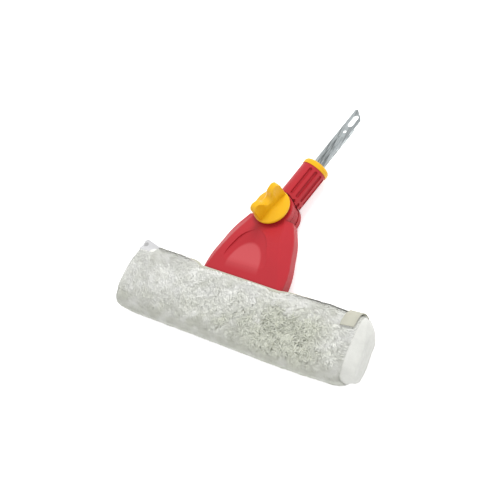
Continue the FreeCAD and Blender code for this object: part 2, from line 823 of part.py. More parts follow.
def knob_insert():
    low = knob_bottom + face_gap
    ring = rod(insert_radius, low, low + insert_length)
    return at_hub(ring.cut(rod(bolt_radius + running_gap, low - overrun, low + insert_length + overrun)))


def pivot_bush():
    half = tongue_thickness / 2
    ring = rod(bush_radius, -half, half).cut(rod(bolt_radius + running_gap, -half - overrun, half + overrun))
    return on_handle(ring)


def swivel_tongue():
    """Inner moulding of the handle: eye, neck and the plug inside the collar."""
    half = tongue_thickness / 2
    eye = rod(tongue_eye_radius, -half, half)
    plug_start = hub_radius + collar_gap
    neck = box(-tongue_neck_width / 2, tongue_neck_width / 2, 0, plug_start + overrun, -half, half)
    plug = long_rod(plug_radius, plug_start, collar_end)
    body = eye.fuse([neck, plug])
    body = body.cut(rod(bush_radius + running_gap, -half - overrun, half + overrun))
    width = tang_width / 2 + slip_gap
    depth = tang_depth / 2 + slip_gap
    body = body.cut(box(-width, width, tang_start - seat_gap, collar_end + overrun, -depth, depth))
    reach = plug_radius + overrun
    for place in pin_places:
        body = body.cut(rod(pin_radius + running_gap, -reach, reach, 0, place))
    return on_handle(body)


def flute_angles():
    return [flute_first + k * flute_pitch for k in range(flute_count)]


def flute(angle, y0, y1):
    """Round-ended groove along the collar, turned from the front towards the right."""
    radius = flute_width / 2
    sink = collar_radius - flute_depth + radius
    length = y1 - y0 - 2 * radius
    groove = long_rod(radius, y0 + radius, y0 + radius + length, 0, sink)
    wide = box(-radius, radius, y0 + radius, y0 + radius + length, sink, collar_radius + overrun)
    ends = [rod(radius, sink, collar_radius + overrun, 0, y) for y in (y0 + radius, y0 + radius + length)]
    balls = [Part.makeSphere(radius, V(0, y, sink)) for y in (y0 + radius, y0 + radius + length)]
    body = groove.fuse([wide] + ends + balls)
    body.rotate(V(0, 0, 0), V(0, 1, 0), angle)
    return body


def fluted_collar():
    """Outer grip: hollowed end round the hub, cross rib and lengthwise grooves above and below it."""
    body = long_rod(collar_radius, 0, collar_end)
    body = body.cut(long_rod(collar_radius - collar_wall, -overrun, collar_end + overrun))
    for angle in flute_angles():
        body = body.cut(flute(angle, rib_start + rib_width, collar_end - flute_top_margin))
        body = body.cut(flute(angle, 0, rib_start))
    body = body.cut(rod(hub_radius + collar_gap, -collar_radius - overrun, collar_radius + overrun))
    return on_handle(body)


def collar_ring():
    """Yellow ring with a domed top and the mouth that the tang comes out of."""
    low = collar_end + face_gap
    top = low + ring_height
    radius = collar_radius + ring_overhang
    side = top - ring_dome
    crown_radius = radius - ring_dome
    turn = ring_dome * math.sqrt(0.5)
    crown = arc(V(radius, side, 0), V(crown_radius + turn, side + turn, 0), V(crown_radius, top, 0))
    outline = [line(V(0, low, 0), V(radius, low, 0)), line(V(radius, low, 0), V(radius, side, 0)), crown,
               line(V(crown_radius, top, 0), V(0, top, 0)), line(V(0, top, 0), V(0, low, 0))]
    body = Part.Face(Part.Wire(outline)).revolve(V(0, 0, 0), V(0, 1, 0), 360)
    width, depth = tang_width / 2 + slip_gap, tang_depth / 2 + slip_gap
    body = body.cut(box(-width, width, low - overrun, top + overrun, -depth, depth))
    mouth = box(-ring_mouth_width / 2, ring_mouth_width / 2, top - ring_dome / 2, top + overrun,
                -ring_mouth_depth / 2, ring_mouth_depth / 2)
    return on_handle(body.cut(mouth))


def tang_outline():
    half = tang_width / 2
    high, low = tang_tip, tang_tip - tang_tip_slant
    cut = tang_tip_corner
    return [(-half, tang_start), (half, tang_start), (half, low - cut), (half - cut, low + cut / 3),
            (-half + cut, high - cut / 3), (-half, high - cut)]


def steel_tang():
    """Channel pressed from strip: web in front, flanges behind, two ribs, a round hole and an oblong one."""
    half, front = tang_width / 2, tang_depth / 2
    body = prism(tang_outline(), front - tang_steel, front)
    flange_end = tang_tip - flange_end_margin
    for side in (-1, 1):
        x0, x1 = sorted((side * half, side * (half - tang_steel)))
        body = body.fuse(box(x0, x1, tang_start, flange_end, -front, front))
        x = side * rib_spacing / 2
        rib = long_rod(rib_radius, collar_end + ring_height + rib_start_gap, rib_end_place, x, front)
        body = body.fuse(rib.cut(box(-half, half, tang_start, tang_tip, -front, front - tang_steel)))
    body = body.cut(rod(tang_hole_radius, -front - overrun, front + overrun, 0, tang_hole_place))
    reach = (tang_slot_length - tang_slot_width) / 2
    slot = box(-tang_slot_width / 2, tang_slot_width / 2, tang_slot_place - reach, tang_slot_place + reach,
               -front - overrun, front + overrun)
    for y in (tang_slot_place - reach, tang_slot_place + reach):
        slot = slot.fuse(rod(tang_slot_width / 2, -front - overrun, front + overrun, 0, y))
    body = body.cut(slot)
    for place in pin_places:
        body = body.cut(rod(pin_radius + running_gap, -front - overrun, front + overrun, 0, place))
    return on_handle(body)


def tang_pins():
    half = plug_radius - slip_gap
    return on_handle(Part.makeCompound([rod(pin_radius, -half, half, 0, place) for place in pin_places]))


pieces = {
    "fleece_pile": fleece_pile,
    "sleeve_backing": sleeve_backing,
    "front_hem": front_hem,
    "rear_hem": rear_hem,
    "end_panel_left": lambda: end_panel(-1),
    "end_panel_right": lambda: end_panel(1),
    "stud_tab": stud_tab,
    "stud_cap": stud_cap,
    "stud_socket": stud_socket,
    "closure_tab": closure_tab,
    "hook_tape": hook_tape,
    "t_bar": t_bar,
    "bar_cap_left": lambda: bar_cap(-1),
    "bar_cap_right": lambda: bar_cap(1),
    "bar_screws": bar_screws,
    "front_shell": front_shell,
    "rear_shell": rear_shell,
    "shell_screws": shell_screws,
    "front_friction_disc": lambda: friction_disc(1),
    "rear_friction_disc": lambda: friction_disc(-1),
    "clamp_bolt": clamp_bolt,
    "clamp_washer": clamp_washer,
    "wing_knob": wing_knob,
    "knob_insert": knob_insert,
    "swivel_tongue": swivel_tongue,
    "pivot_bush": pivot_bush,
    "fluted_collar": fluted_collar,
    "collar_ring": collar_ring,
    "steel_tang": steel_tang,
    "tang_pins": tang_pins,
}

os.makedirs("parts", exist_ok=True)
for name, make in pieces.items():
    save(name, make())
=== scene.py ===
"""Looks of a window strip washer: fleece sleeve, moulded housing with a wing knob, and a galvanised tang."""
import math

import bpy
import numpy as np
from mathutils import Matrix, Vector


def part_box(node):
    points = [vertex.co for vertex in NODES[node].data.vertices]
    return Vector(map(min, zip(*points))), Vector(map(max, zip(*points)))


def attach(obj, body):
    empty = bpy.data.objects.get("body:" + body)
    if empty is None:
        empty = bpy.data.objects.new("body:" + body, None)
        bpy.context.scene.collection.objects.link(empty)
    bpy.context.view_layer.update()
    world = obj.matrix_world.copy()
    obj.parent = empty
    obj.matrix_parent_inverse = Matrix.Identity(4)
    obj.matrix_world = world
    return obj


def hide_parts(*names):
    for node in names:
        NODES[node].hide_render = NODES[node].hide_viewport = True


bl_info = {
    "name": "Window strip washer",
    "version": (1, 0, 0),
    "blender": (4, 5, 0),
    "location": "View3D > Sidebar > Washer",
    "description": "Adds the washer's fleece sleeve, plastics and steel to its CAD frame",
    "category": "Add Mesh",
}

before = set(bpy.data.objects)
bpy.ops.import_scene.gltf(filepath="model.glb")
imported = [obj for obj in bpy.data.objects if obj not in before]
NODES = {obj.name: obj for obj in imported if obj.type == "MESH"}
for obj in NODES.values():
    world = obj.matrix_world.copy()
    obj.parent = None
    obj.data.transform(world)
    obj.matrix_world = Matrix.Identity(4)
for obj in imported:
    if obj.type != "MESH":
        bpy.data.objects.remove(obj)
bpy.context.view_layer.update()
MM = 0.001


# Mesh makers

def new_object(name, data):
    made = bpy.data.objects.new(name, data)
    bpy.context.scene.collection.objects.link(made)
    return made


def mesh_object(name, points, quads, triangles=None, uv=None, smooth=True):
    """Object from an (n, 3) array of points in metres and arrays of quads and triangles, a UV per point."""
    points = np.asarray(points, float).reshape(-1, 3)
    quads = np.asarray(quads, int)
    triangles = np.zeros((0, 3), int) if triangles is None else np.asarray(triangles, int)
    mesh = bpy.data.meshes.new(name)
    mesh.vertices.add(len(points))
    mesh.vertices.foreach_set("co", points.ravel())
    corner = np.concatenate([quads.ravel(), triangles.ravel()])
    starts = np.concatenate([np.arange(len(quads)) * 4, len(quads) * 4 + np.arange(len(triangles)) * 3])
    mesh.loops.add(len(corner))
    mesh.loops.foreach_set("vertex_index", corner)
    mesh.polygons.add(len(starts))
    mesh.polygons.foreach_set("loop_start", starts)
    mesh.polygons.foreach_set("use_smooth", np.full(len(starts), smooth))
    if uv is not None:
        layer = mesh.uv_layers.new(name="along")
        layer.data.foreach_set("uv", np.asarray(uv, float).reshape(-1, 2)[corner].ravel())
    mesh.update(calc_edges=True)
    mesh.validate()
    return new_object(name, mesh)


def grid_quads(rows, columns, wrap_rows=False, wrap_columns=False, flip=False):
    """Quads between neighbours of a rows by columns grid of points, closed round either way."""
    r = np.arange(rows if wrap_rows else rows - 1)
    c = np.arange(columns if wrap_columns else columns - 1)
    r, c = np.meshgrid(r, c, indexing="ij")
    r2, c2 = (r + 1) % rows, (c + 1) % columns
    quads = np.stack([r * columns + c, r * columns + c2, r2 * columns + c2, r2 * columns + c], -1)
    quads = quads.reshape(-1, 4)
    return quads[:, ::-1] if flip else quads


def tube_of_rings(name, rings, flip=False, uv=None):
    """Closed skin over rings of points, (n rings, m points, 3), with a fan to a middle point at each end."""
    rows, columns = rings.shape[:2]
    points = np.concatenate([rings.reshape(-1, 3), rings[0].mean(0)[None], rings[-1].mean(0)[None]])
    quads = grid_quads(rows, columns, wrap_columns=True, flip=flip)
    k, hub = np.arange(columns), np.full(columns, rows * columns)
    beside, last = (k + 1) % columns, (rows - 1) * columns
    caps = np.concatenate([np.stack([hub, beside, k], -1), np.stack([hub + 1, last + k, last + beside], -1)])
    if uv is not None:
        uv = np.concatenate([np.asarray(uv).reshape(-1, 2), uv[0].mean(0)[None], uv[-1].mean(0)[None]])
    return mesh_object(name, points, quads, caps[:, ::-1] if flip else caps, uv)


def waves(points, wavelength, seed, count=14):
    """Smooth noise of about -1 to 1: a sum of sine waves of near equal length in random directions."""
    draw = np.random.default_rng(seed)
    ways = draw.normal(size=(count, 3))
    ways /= np.linalg.norm(ways, axis=1)[:, None]
    rate = 2 * np.pi / (wavelength * draw.uniform(0.7, 1.5, count))
    shift = draw.uniform(0, 2 * np.pi, count)
    total = np.zeros(len(points))
    for way, r, s in zip(ways, rate, shift):
        total += np.sin(points @ way * r + s)
    return total / math.sqrt(count / 2) / 1.6


def run_of(points):
    """Distance along a line of points, from 0 at its first."""
    return np.concatenate([[0], np.cumsum(np.linalg.norm(np.diff(points, axis=0), axis=1))])


def stacked(*axes):
    """Points or UVs from coordinates that broadcast to one shape."""
    return np.stack(np.broadcast_arrays(*axes), -1)


def around(count):
    """Even turns round a full circle."""
    return np.linspace(0, 2 * np.pi, count, endpoint=False)


def unit(vectors):
    return vectors / np.maximum(np.linalg.norm(vectors, axis=-1, keepdims=True), 1e-9)


# Settings

def setting(name, text, value, **kind):
    make = bpy.props.FloatVectorProperty if isinstance(value, tuple) else bpy.props.FloatProperty
    return make(name=name, description=text, default=value, **kind)


def metres(name, text, value):
    return setting(name, text, value, unit="LENGTH")


def watts(name, text, value):
    return setting(name, text, value, unit="POWER")


def tone(name, text, value):
    return setting(name, text, value, subtype="COLOR")


class WasherSleeve(bpy.types.PropertyGroup):
    left: metres("Left end", "Pile's left end from the fan", 0.166)
    right: metres("Right end", "Pile's right end from the fan", 0.172)
    height: metres("Height", "Sleeve's height", 0.092)
    thickness: metres("Thickness", "Sleeve's thickness", 0.051)
    middle: metres("Mid height", "Height of the parting plane", 0.025)
    pile_depth: metres("Pile depth", "Depth of the ground under the loosest pile", 0.0052)
    curl_length: metres("Curl length", "Length of one curl", 0.0085)
    curl_radius: metres("Curl radius", "Half thickness of one curl", 0.00062)
    curl_spacing: metres("Curl spacing", "Distance between curls", 0.00122)
    tip_color: tone("Pile colour", "Loose pile at its tips", (0.69, 0.705, 0.615))
    # Root colour: the loose pile's roots are darker than its tips as painted shade between the curls.
    root_shade_color: tone("Root colour", "Loose pile at its roots", (0.58, 0.595, 0.48))
    calm_color: tone("Calm colour", "Calm pile", (0.97, 0.975, 0.935))
    ground_color: tone("Ground colour", "Knitted ground under the pile", (0.86, 0.87, 0.82))
    cloth_color: tone("Cloth colour", "Smooth cloth ends", (0.69, 0.695, 0.655))
    tab_color: tone("Tab colour", "The stud's cloth tab", (0.60, 0.60, 0.61))
    tape_color: tone("Tape colour", "Woven tapes and strap", (0.53, 0.525, 0.44))
    backing_color: tone("Backing colour", "Woven tube inside", (0.55, 0.54, 0.48))


class WasherPlastics(bpy.types.PropertyGroup):
    red: tone("Red", "Housing and collar", (0.45, 0.020, 0.030))
    arch: tone("Arch", "Paler floor of the sunken arch", (0.53, 0.070, 0.080))
    yellow: tone("Yellow", "Knob and ring", (0.79, 0.425, 0.006))
    steel: tone("Steel", "Galvanised tang", (0.32, 0.345, 0.35))


class WasherStage(bpy.types.PropertyGroup):
    lens: setting("Lens", "Focal length on a 36 mm sensor", 50.4)
    place: setting("Camera place", "Camera's place", (0.4759, -0.1814, 0.7668), unit="LENGTH",
                   subtype="TRANSLATION")
    floor_size: metres("Floor", "Half width of the floor", 3.0)
    world_level: setting("Ambient", "Strength of the surrounding light", 0.79)
    key_power: watts("Key lamp", "Power of the upper lamp", 12.0)
    fill_power: watts("Fill lamp", "Power of the right lamp", 4.5)


# Materials

def feed(tree, made, sockets):
    """Feeds a node's inputs, each by a link from another node's output or with a plain value."""
    for key, source in sockets.items():
        if isinstance(source, bpy.types.NodeSocket):
            tree.links.new(source, made.inputs[key])
        else:
            made.inputs[key].default_value = source
    return made.outputs


def node(tree, kind, sockets, output=0, **values):
    """Adds a shader node and gives back one of its outputs, or all of them where output is None."""
    made = tree.nodes.new("ShaderNode" + kind)
    for key, value in values.items():
        setattr(made, key, value)
    outputs = feed(tree, made, sockets)
    return outputs if output is None else outputs[output]


def calc(tree, operation, *values):
    """One sum on outputs or plain numbers."""
    return node(tree, "Math", dict(enumerate(values)), operation=operation)


def tinted(tree, shade, gain):
    return node(tree, "VectorMath", {0: shade, "Scale": gain}, operation="SCALE")


def normalized(tree, vector):
    return node(tree, "VectorMath", {0: vector}, operation="NORMALIZE")


def spread(tree, value, low, high, start=0.0, end=1.0):
    """Runs from low to high while the value runs from start to end."""
    return node(tree, "MapRange", {"Value": value, "From Min": start, "From Max": end,
                                   "To Min": low, "To Max": high})


def mixed(tree, kind, share, a, b):
    return node(tree, "Mix", {"Factor": share, "A": a, "B": b}, "Result", data_type=kind)


def object_place(tree):
    return node(tree, "TexCoord", {}, "Object")


def bump(tree, height, strength, distance):
    return node(tree, "Bump", {"Height": height, "Strength": strength, "Distance": distance})


def mottle_group():
    """Colour that wanders gently round a base colour, and a fine height for bump, by object coordinates."""
    if "Mottle" in bpy.data.node_groups:
        return bpy.data.node_groups["Mottle"]
    tree = bpy.data.node_groups.new("Mottle", "ShaderNodeTree")
    for label, kind in (("Color", "Color"), ("Size", "Float"), ("Amount", "Float"), ("Grain", "Float")):
        tree.interface.new_socket(name=label, in_out="INPUT", socket_type="NodeSocket" + kind)
    for label, kind in (("Color", "Color"), ("Height", "Float"), ("Cloud", "Float")):
        tree.interface.new_socket(name=label, in_out="OUTPUT", socket_type="NodeSocket" + kind)
    start, end = tree.nodes.new("NodeGroupInput").outputs, tree.nodes.new("NodeGroupOutput")
    place = object_place(tree)
    cloud = node(tree, "TexNoise", {"Vector": place, "Scale": start["Size"], "Detail": 3})
    grain = node(tree, "TexNoise", {"Vector": place, "Scale": start["Grain"], "Detail": 2})
    gain = calc(tree, "MULTIPLY_ADD", calc(tree, "SUBTRACT", cloud, 0.5), start["Amount"], 1.0)
    feed(tree, end, {"Color": tinted(tree, start["Color"], gain), "Height": grain, "Cloud": cloud})
    return tree


def mottle(tree, shade, size, amount, grain):
    """The mottle group's outputs for a colour or for an output that holds one."""
    shade = shade if isinstance(shade, bpy.types.NodeSocket) else (*shade, 1)
    return node(tree, "Group", {"Color": shade, "Size": size, "Amount": amount, "Grain": grain}, None,
                node_tree=mottle_group())


def new_material(name):
    material = bpy.data.materials.new(name)
    material.use_nodes = True
    return material, material.node_tree, material.node_tree.nodes["Principled BSDF"]


ARCH_FOOT, ARCH_HALF = (-0.004, 0.047), (0.0265, 0.044)
ARCH_RIM, ARCH_FADE = 0.90, 0.35


def arch_share(tree):
    """Share of the sunken arch: 1 inside half an ellipse over its foot, 0 past its rim and below it."""
    shift = (-ARCH_FOOT[0] / ARCH_HALF[0], -ARCH_FOOT[1] / ARCH_HALF[1], 0)
    scale = (1 / ARCH_HALF[0], 1 / ARCH_HALF[1], 0)
    place = node(tree, "Mapping", {"Vector": object_place(tree), "Location": shift, "Scale": scale})
    away = node(tree, "VectorMath", {0: place}, "Value", operation="LENGTH")
    rise = node(tree, "SeparateXYZ", {0: place}, "Y")
    inside, above = spread(tree, away, 0, 1, 1.0, ARCH_RIM), spread(tree, rise, 0, 1, 0, ARCH_FADE)
    return calc(tree, "MULTIPLY", inside, above)


def moulded(name, shade, roughness=0.46, recess=None):
    """Satin moulded plastic: a faint cloud in the colour and a fine grain; recess is the arch's colour."""
    material, tree, shader = new_material(name)
    cloud = mottle(tree, shade, 55.0, 0.10, 1600.0)
    surface = cloud["Color"]
    if recess:
        surface = mixed(tree, "RGBA", arch_share(tree), surface, (*recess, 1))
    feed(tree, shader, {
        "Base Color": surface, "Specular IOR Level": 0.35,
        "Roughness": spread(tree, cloud["Cloud"], roughness - 0.06, roughness + 0.08),
        "Normal": bump(tree, cloud["Height"], 0.12, 0.0001)})
    return material


def zinc(name, shade, roughness=0.34, turn=0.0):
    """Galvanised steel: bright and dull crystals, broad streaks and fine lengthwise rolling lines. The broad
    streaks in the colour are partly the zinc's own and partly painted lengthwise highlights and dark lines.
    """
    material, tree, shader = new_material(name)
    place = object_place(tree)

    def drawn_out(scale):
        stretched = node(tree, "Mapping", {"Vector": place, "Rotation": (0, 0, turn), "Scale": scale})
        return node(tree, "TexNoise", {"Vector": stretched, "Scale": 1.0})

    lines, broad = drawn_out((1400, 60, 1400)), drawn_out((420, 9, 420))
    crystals = node(tree, "TexVoronoi", {"Vector": place, "Scale": 420.0}, "Color")
    # Broad streaks of 0.62 to 1.55 times the colour: partly the zinc's own, partly painted lengthwise
    # highlights and dark lines.
    streaks = spread(tree, broad, 0.62, 1.55, 0.35, 0.65)
    gain = calc(tree, "MULTIPLY", spread(tree, crystals, 0.90, 1.08), streaks)
    feed(tree, shader, {
        "Base Color": tinted(tree, shade, gain), "Metallic": 1.0,
        "Roughness": spread(tree, lines, roughness - 0.12, roughness + 0.16),
        "Normal": bump(tree, lines, 0.25, 0.00008)})
    return material


def pile_material(name, tip, root, calm):
    """Fleece curl: UV runs from loose to calm and from root to tip; the first value is also lowered towards
    the sleeve's bottom as painted shade. Loose pile is warmer at its root, and darker there as painted shade
    between the curls. The shading normal of calm pile leans to the sleeve's own, as far as that one faces the
    viewer."""
    material, tree, shader = new_material(name)
    split = node(tree, "SeparateXYZ", {"Vector": node(tree, "UVMap", {}, uv_map="along")}, None)
    # Painted shade: the ramp darkens each curl from its tip down to its root.
    rise = node(tree, "ValToRGB", {"Fac": split["Y"]})
    for element, place, shade in zip(rise.node.color_ramp.elements, (0.0, 0.62), (root, tip)):
        element.position, element.color = place, (*shade, 1)
    cloud = mottle(tree, rise, 38.0, 0.20, 2500.0)
    even, incoming = section_normal(tree), node(tree, "NewGeometry", {}, "Incoming")
    facing = node(tree, "VectorMath", {0: even, 1: incoming}, "Value", operation="DOT_PRODUCT")
    lean = calc(tree, "MULTIPLY", spread(tree, split["X"], 0, 0.95, 0.05, 0.40),
                spread(tree, facing, 0, 1, 0.05, 0.35))
    normal = mixed(tree, "VECTOR", lean, node(tree, "NewGeometry", {}, "Normal"), even)
    # Where the UV's first value was lowered towards the sleeve's bottom, the smaller share of the calm colour
    # is painted shade.
    pale = spread(tree, split["X"], 0, 1, 0.30, 1)
    feed(tree, shader, {
        "Base Color": mixed(tree, "RGBA", pale, cloud["Color"], (*calm, 1)),
        "Roughness": 0.85, "Sheen Weight": 0.25, "Sheen Roughness": 0.5, "Normal": normalized(tree, normal)})
    return material


# axis, middle, half size and gain of the oval whose normals calm pile leans to, and its power
EVEN_OVAL, EVEN_POWER = (("Y", 0.0, 0.045, 1.0), ("Z", 0.025, 0.0255, 1.8)), 1.2


def section_normal(tree):
    """Normal of the even oval at an object point: y |y|^p and z |z|^p in half sizes."""
    split = node(tree, "SeparateXYZ", {0: object_place(tree)}, None)
    slopes = {}
    for axis, middle, half, gain in EVEN_OVAL:
        share = calc(tree, "DIVIDE", calc(tree, "SUBTRACT", split[axis], middle), half)
        bent = calc(tree, "POWER", calc(tree, "ABSOLUTE", share), EVEN_POWER)
        slopes[axis] = calc(tree, "MULTIPLY", calc(tree, "MULTIPLY", share, bent), gain)
    return normalized(tree, node(tree, "CombineXYZ", slopes))


def cloth_material(name, shade, pitch=0.0009):
    """Knitted cloth: fine ribs one way and a looser wave the other, with faint lengthwise streaks."""
    material, tree, shader = new_material(name)
    place = object_place(tree)
    ribs = node(tree, "TexWave", {"Vector": place, "Scale": 0.31 / pitch, "Distortion": 2.0, "Detail": 1.0},
                "Fac", wave_type="BANDS", bands_direction="Y")
    stretched = node(tree, "Mapping", {"Vector": place, "Scale": (30, 260, 260)})
    streaks = node(tree, "TexNoise", {"Vector": stretched, "Scale": 1.0})
    cloud = mottle(tree, shade, 70.0, 0.10, 1500.0)
    feed(tree, shader, {
        "Base Color": tinted(tree, cloud["Color"], spread(tree, streaks, 0.90, 1.07)),
        "Roughness": 0.8, "Sheen Weight": 0.3,
        "Normal": bump(tree, calc(tree, "ADD", ribs, streaks), 0.35, 0.0003)})
    return material


def tape_material(name, shade):
    """Woven tape: slanting ribs across the width and a row of stitches; UV is metres along and across."""
    material, tree, shader = new_material(name)
    uv = node(tree, "UVMap", {}, uv_map="along")
    weave = node(tree, "TexWave", {"Vector": uv, "Scale": 420.0, "Distortion": 1.5}, "Fac",
                 wave_type="BANDS", bands_direction="DIAGONAL")
    split = node(tree, "SeparateXYZ", {"Vector": uv}, None)
    dashes = calc(tree, "GREATER_THAN", calc(tree, "PINGPONG", split["X"], 0.0013), 0.0004)
    stitches = calc(tree, "MULTIPLY", dashes, calc(tree, "COMPARE", split["Y"], 0.0055, 0.0004))
    cloud = mottle(tree, shade, 90.0, 0.12, 1800.0)
    feed(tree, shader, {
        "Base Color": tinted(tree, cloud["Color"], spread(tree, weave, 0.93, 1.03)), "Roughness": 0.8,
        "Normal": bump(tree, calc(tree, "MULTIPLY_ADD", stitches, 2.5, weave), 0.5, 0.0002)})
    return material


def plain(name, shade, roughness, metallic=0.0):
    """Small part's finish: a mottled colour with a fine grain."""
    material, tree, shader = new_material(name)
    cloud = mottle(tree, shade, 150.0, 0.15, 2400.0)
    feed(tree, shader, {"Base Color": cloud["Color"], "Roughness": roughness, "Metallic": metallic,
                        "Normal": bump(tree, cloud["Height"], 0.15, 0.00008)})
    return material


def seen(tree):
    """1 for rays from the camera, straight, mirrored or through something clear, else 0."""
    path = node(tree, "LightPath", {}, None)
    mirrored = calc(tree, "MAXIMUM", path["Is Camera Ray"], path["Is Glossy Ray"])
    return calc(tree, "MAXIMUM", mirrored, path["Is Transmission Ray"])


def dress(piece, material):
    piece.data.materials.clear()
    piece.data.materials.append(material)


def finish(*rows):
    """Gives each row's material to the CAD nodes that the row names."""
    for material, *names in rows:
        for name in names:
            dress(NODES[name], material)
    return {"FINISHED"}


def add(piece, material, slot, body, *nodes):
    """Gives a new piece its finish and body, and hides the CAD nodes it stands for."""
    dress(piece, material)
    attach(piece, body)
    if nodes:
        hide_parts(*nodes)
    return piece


# The sleeve's form

ROUNDNESS = 0.62
# place along the sleeve, then the shares of its height, thickness and lift: the solid's, with softer ends
SECTION_SHARES = np.array([
    (-1.0, 0.90, 0.90, 0.018), (-0.975, 1.01, 0.94, 0.017), (-0.90, 1.035, 0.99, 0.018),
    (-0.70, 1.025, 1.0, 0.014), (-0.30, 0.995, 1.0, 0.0), (0.10, 0.985, 0.99, -0.008),
    (0.45, 0.965, 1.0, -0.020), (0.75, 0.946, 0.99, -0.013), (0.92, 0.922, 0.978, -0.015),
    (0.98, 0.906, 0.955, 0.010), (1.0, 0.88, 0.975, 0.017),
])
LUMP, LUMP_ROWS, LUMP_ZONE = 1.1 * MM, 18, 0.87
LUMP_ANGLES = np.radians([0, 20, 45, 70, 90, 110, 135, 160, 180])
LUMP_SHARES = np.array([0.5, -0.6, 0.9, -0.2, 0.2, -1.0, 0.6])
FAN_HALF_WIDTH = 62.3 * MM
# how far the slit takes to close on the left and right, and how far each lip stands from the middle
SLIT_LEFT, SLIT_RIGHT = 52 * MM, 68 * MM
SLIT_FRONT, SLIT_REAR, SLIT_SHUT = 18.2 * MM, 15.3 * MM, 0.4 * MM
TAPE = 1.6 * MM
HEM_FOOT = 32 * MM
HEM_ENDS = (-142.8 * MM, 156.3 * MM)
TAB_EDGE, TAB_LOW, TAB_BACK = -142.2 * MM, 37.2 * MM, 37.1 * MM
# how far cloth stands inside its solid, and the pace of its ripples in radians a metre
SKIN, RIPPLE_PACE = 0.1 * MM, 420
# how far each end's cloth bulges and sags, and how far it is tucked into the sleeve
END_BULGES = {"end_panel_left": (12.8 * MM, 0.0), "end_panel_right": (19.0 * MM, 8.7 * MM)}
END_TUCKS, END_CAP = (4.5 * MM, 2 * MM), 0.6 * MM
# tab: tucked foot, slanting right and left corners, and the height, reach and rise of its lower edge
TAB_FOOT, TAB_SLANT, TAB_CORNER, TAB_ROUND = 2 * MM, 6.5 * MM, 3.5 * MM, 1.6 * MM
TAB_REST, TAB_REACH, TAB_RISE = 45.5 * MM, 9.5 * MM, 4.6 * MM
STRAP_EDGES, STRAP_TURNS = (156.2 * MM, 173.8 * MM), (math.radians(74), math.radians(-7))
HOOK_EDGES = (158.6 * MM, 168.6 * MM)
# the pile lies low where it is right of, above and in front of this place, under the strap
STRAP_CORNER = (0.156, 0.017, 0.016)
# strength, middle in x and y, and reach in x and y of each curly spot
CURLY_SPOTS = ((1.0, 0.100, -0.010, 0.052, 0.032), (0.22, 0.010, -0.012, 0.075, 0.034))
CALM_TOP, TOP_FADE = 34 * MM, 16 * MM
CALM_ENDS, END_FADE = (-164 * MM, 170 * MM), 32 * MM
CURL_STATIONS, CURL_SIDES, CURL_PIECES = 5, 3, 9
# values in calm pile and in the loosest pile: angles in radians, heights in mm, the others shares
NAP = {
    "root": (1.30, 0.35), "root_draw": (0.1, 0.4), "bend": (0.2, 1.3), "bend_draw": (0, 1.0),
    "twist": (0.8, 5.0), "flow": (0.3, 0.9), "size": (0.72, 1.0), "broad": (2.3, 1.0), "thin": (0.32, 1.0),
    "clump": (0.05, 1.40), "height_draw": (0.25, 0.65),
}


def lumps(along, turn):
    """Soft lumps on the pile's front, bilinear between the same rows and angles as in the solid."""
    steps = np.degrees(LUMP_ANGLES).astype(int) // 22
    turns = np.arange(LUMP_ROWS + 1)[:, None] * 3 + steps * 2
    table = LUMP_SHARES[turns % len(LUMP_SHARES)] * np.sin(LUMP_ANGLES)
    place = np.clip((along / LUMP_ZONE + 1) / 2, 0, 1) * LUMP_ROWS
    spot = np.interp(turn, LUMP_ANGLES, np.arange(len(LUMP_ANGLES)))
    i, j = np.minimum(place.astype(int), LUMP_ROWS - 1), np.minimum(spot.astype(int), len(LUMP_ANGLES) - 2)
    a, b = place - i, spot - j
    value = ((table[i, j] * (1 - b) + table[i, j + 1] * b) * (1 - a)
             + (table[i + 1, j] * (1 - b) + table[i + 1, j + 1] * b) * a)
    return LUMP * value * (np.abs(along) < LUMP_ZONE + 0.03)


def span():
    """Middle and half length of the sleeve along X."""
    sleeve = bpy.context.scene.washer_sleeve
    return (sleeve.right - sleeve.left) / 2, (sleeve.right + sleeve.left) / 2


def section_at(along):
    """Half height, half thickness and lift of the sleeve's section at shares along it."""
    sleeve = bpy.context.scene.washer_sleeve
    high, thick, lift = (np.interp(along, SECTION_SHARES[:, 0], SECTION_SHARES[:, k]) for k in (1, 2, 3))
    return high * sleeve.height / 2, thick * sleeve.thickness / 2, lift * sleeve.height


def oval(turn, power):
    """Superellipse of half sizes 1: cosine and sine, each raised to the power with its sign kept."""
    c, s = np.cos(turn), np.sin(turn)
    return np.sign(c) * np.abs(c) ** power, np.sign(s) * np.abs(s) ** power


def section_points(along, turn, inset, lumpy=True):
    """Points and outward normals of the sleeve at shares along it and turns round its oval section."""
    sleeve = bpy.context.scene.washer_sleeve
    out = (lumps(along, np.mod(turn, 2 * np.pi)) if lumpy else 0) - inset
    high, thick, lift = section_at(along)
    high, thick = high + out, thick + out
    power = 2 / ROUNDNESS
    y, z = oval(turn, ROUNDNESS)
    y, z = high * y, thick * z
    middle, half = span()
    x = middle + along * half
    normals = stacked(0.0, np.sign(y) * np.abs(y / high) ** (power - 1) / high,
                      np.sign(z) * np.abs(z / thick) ** (power - 1) / thick)
    return stacked(x, y + lift, z + sleeve.middle), unit(normals)


def top_at(x, z):
    """Height of the sleeve's surface at x, at a distance z in front of its middle."""
    middle, half = span()
    high, thick, lift = section_at((x - middle) / half)
    power = 2 / ROUNDNESS
    return high * np.clip(1 - np.abs(z / thick) ** power, 0.001, 1) ** (1 / power) + lift


def even_turns():
    """Turns round the section that lie at even distances along its edge."""
    turn = np.linspace(0, 2 * np.pi, 6001)
    points, _ = section_points(np.zeros_like(turn), turn, 0.0, lumpy=False)
    run = run_of(points)
    return lambda share: np.interp(np.mod(share, 1.0) * run[-1], run, turn), run[-1]


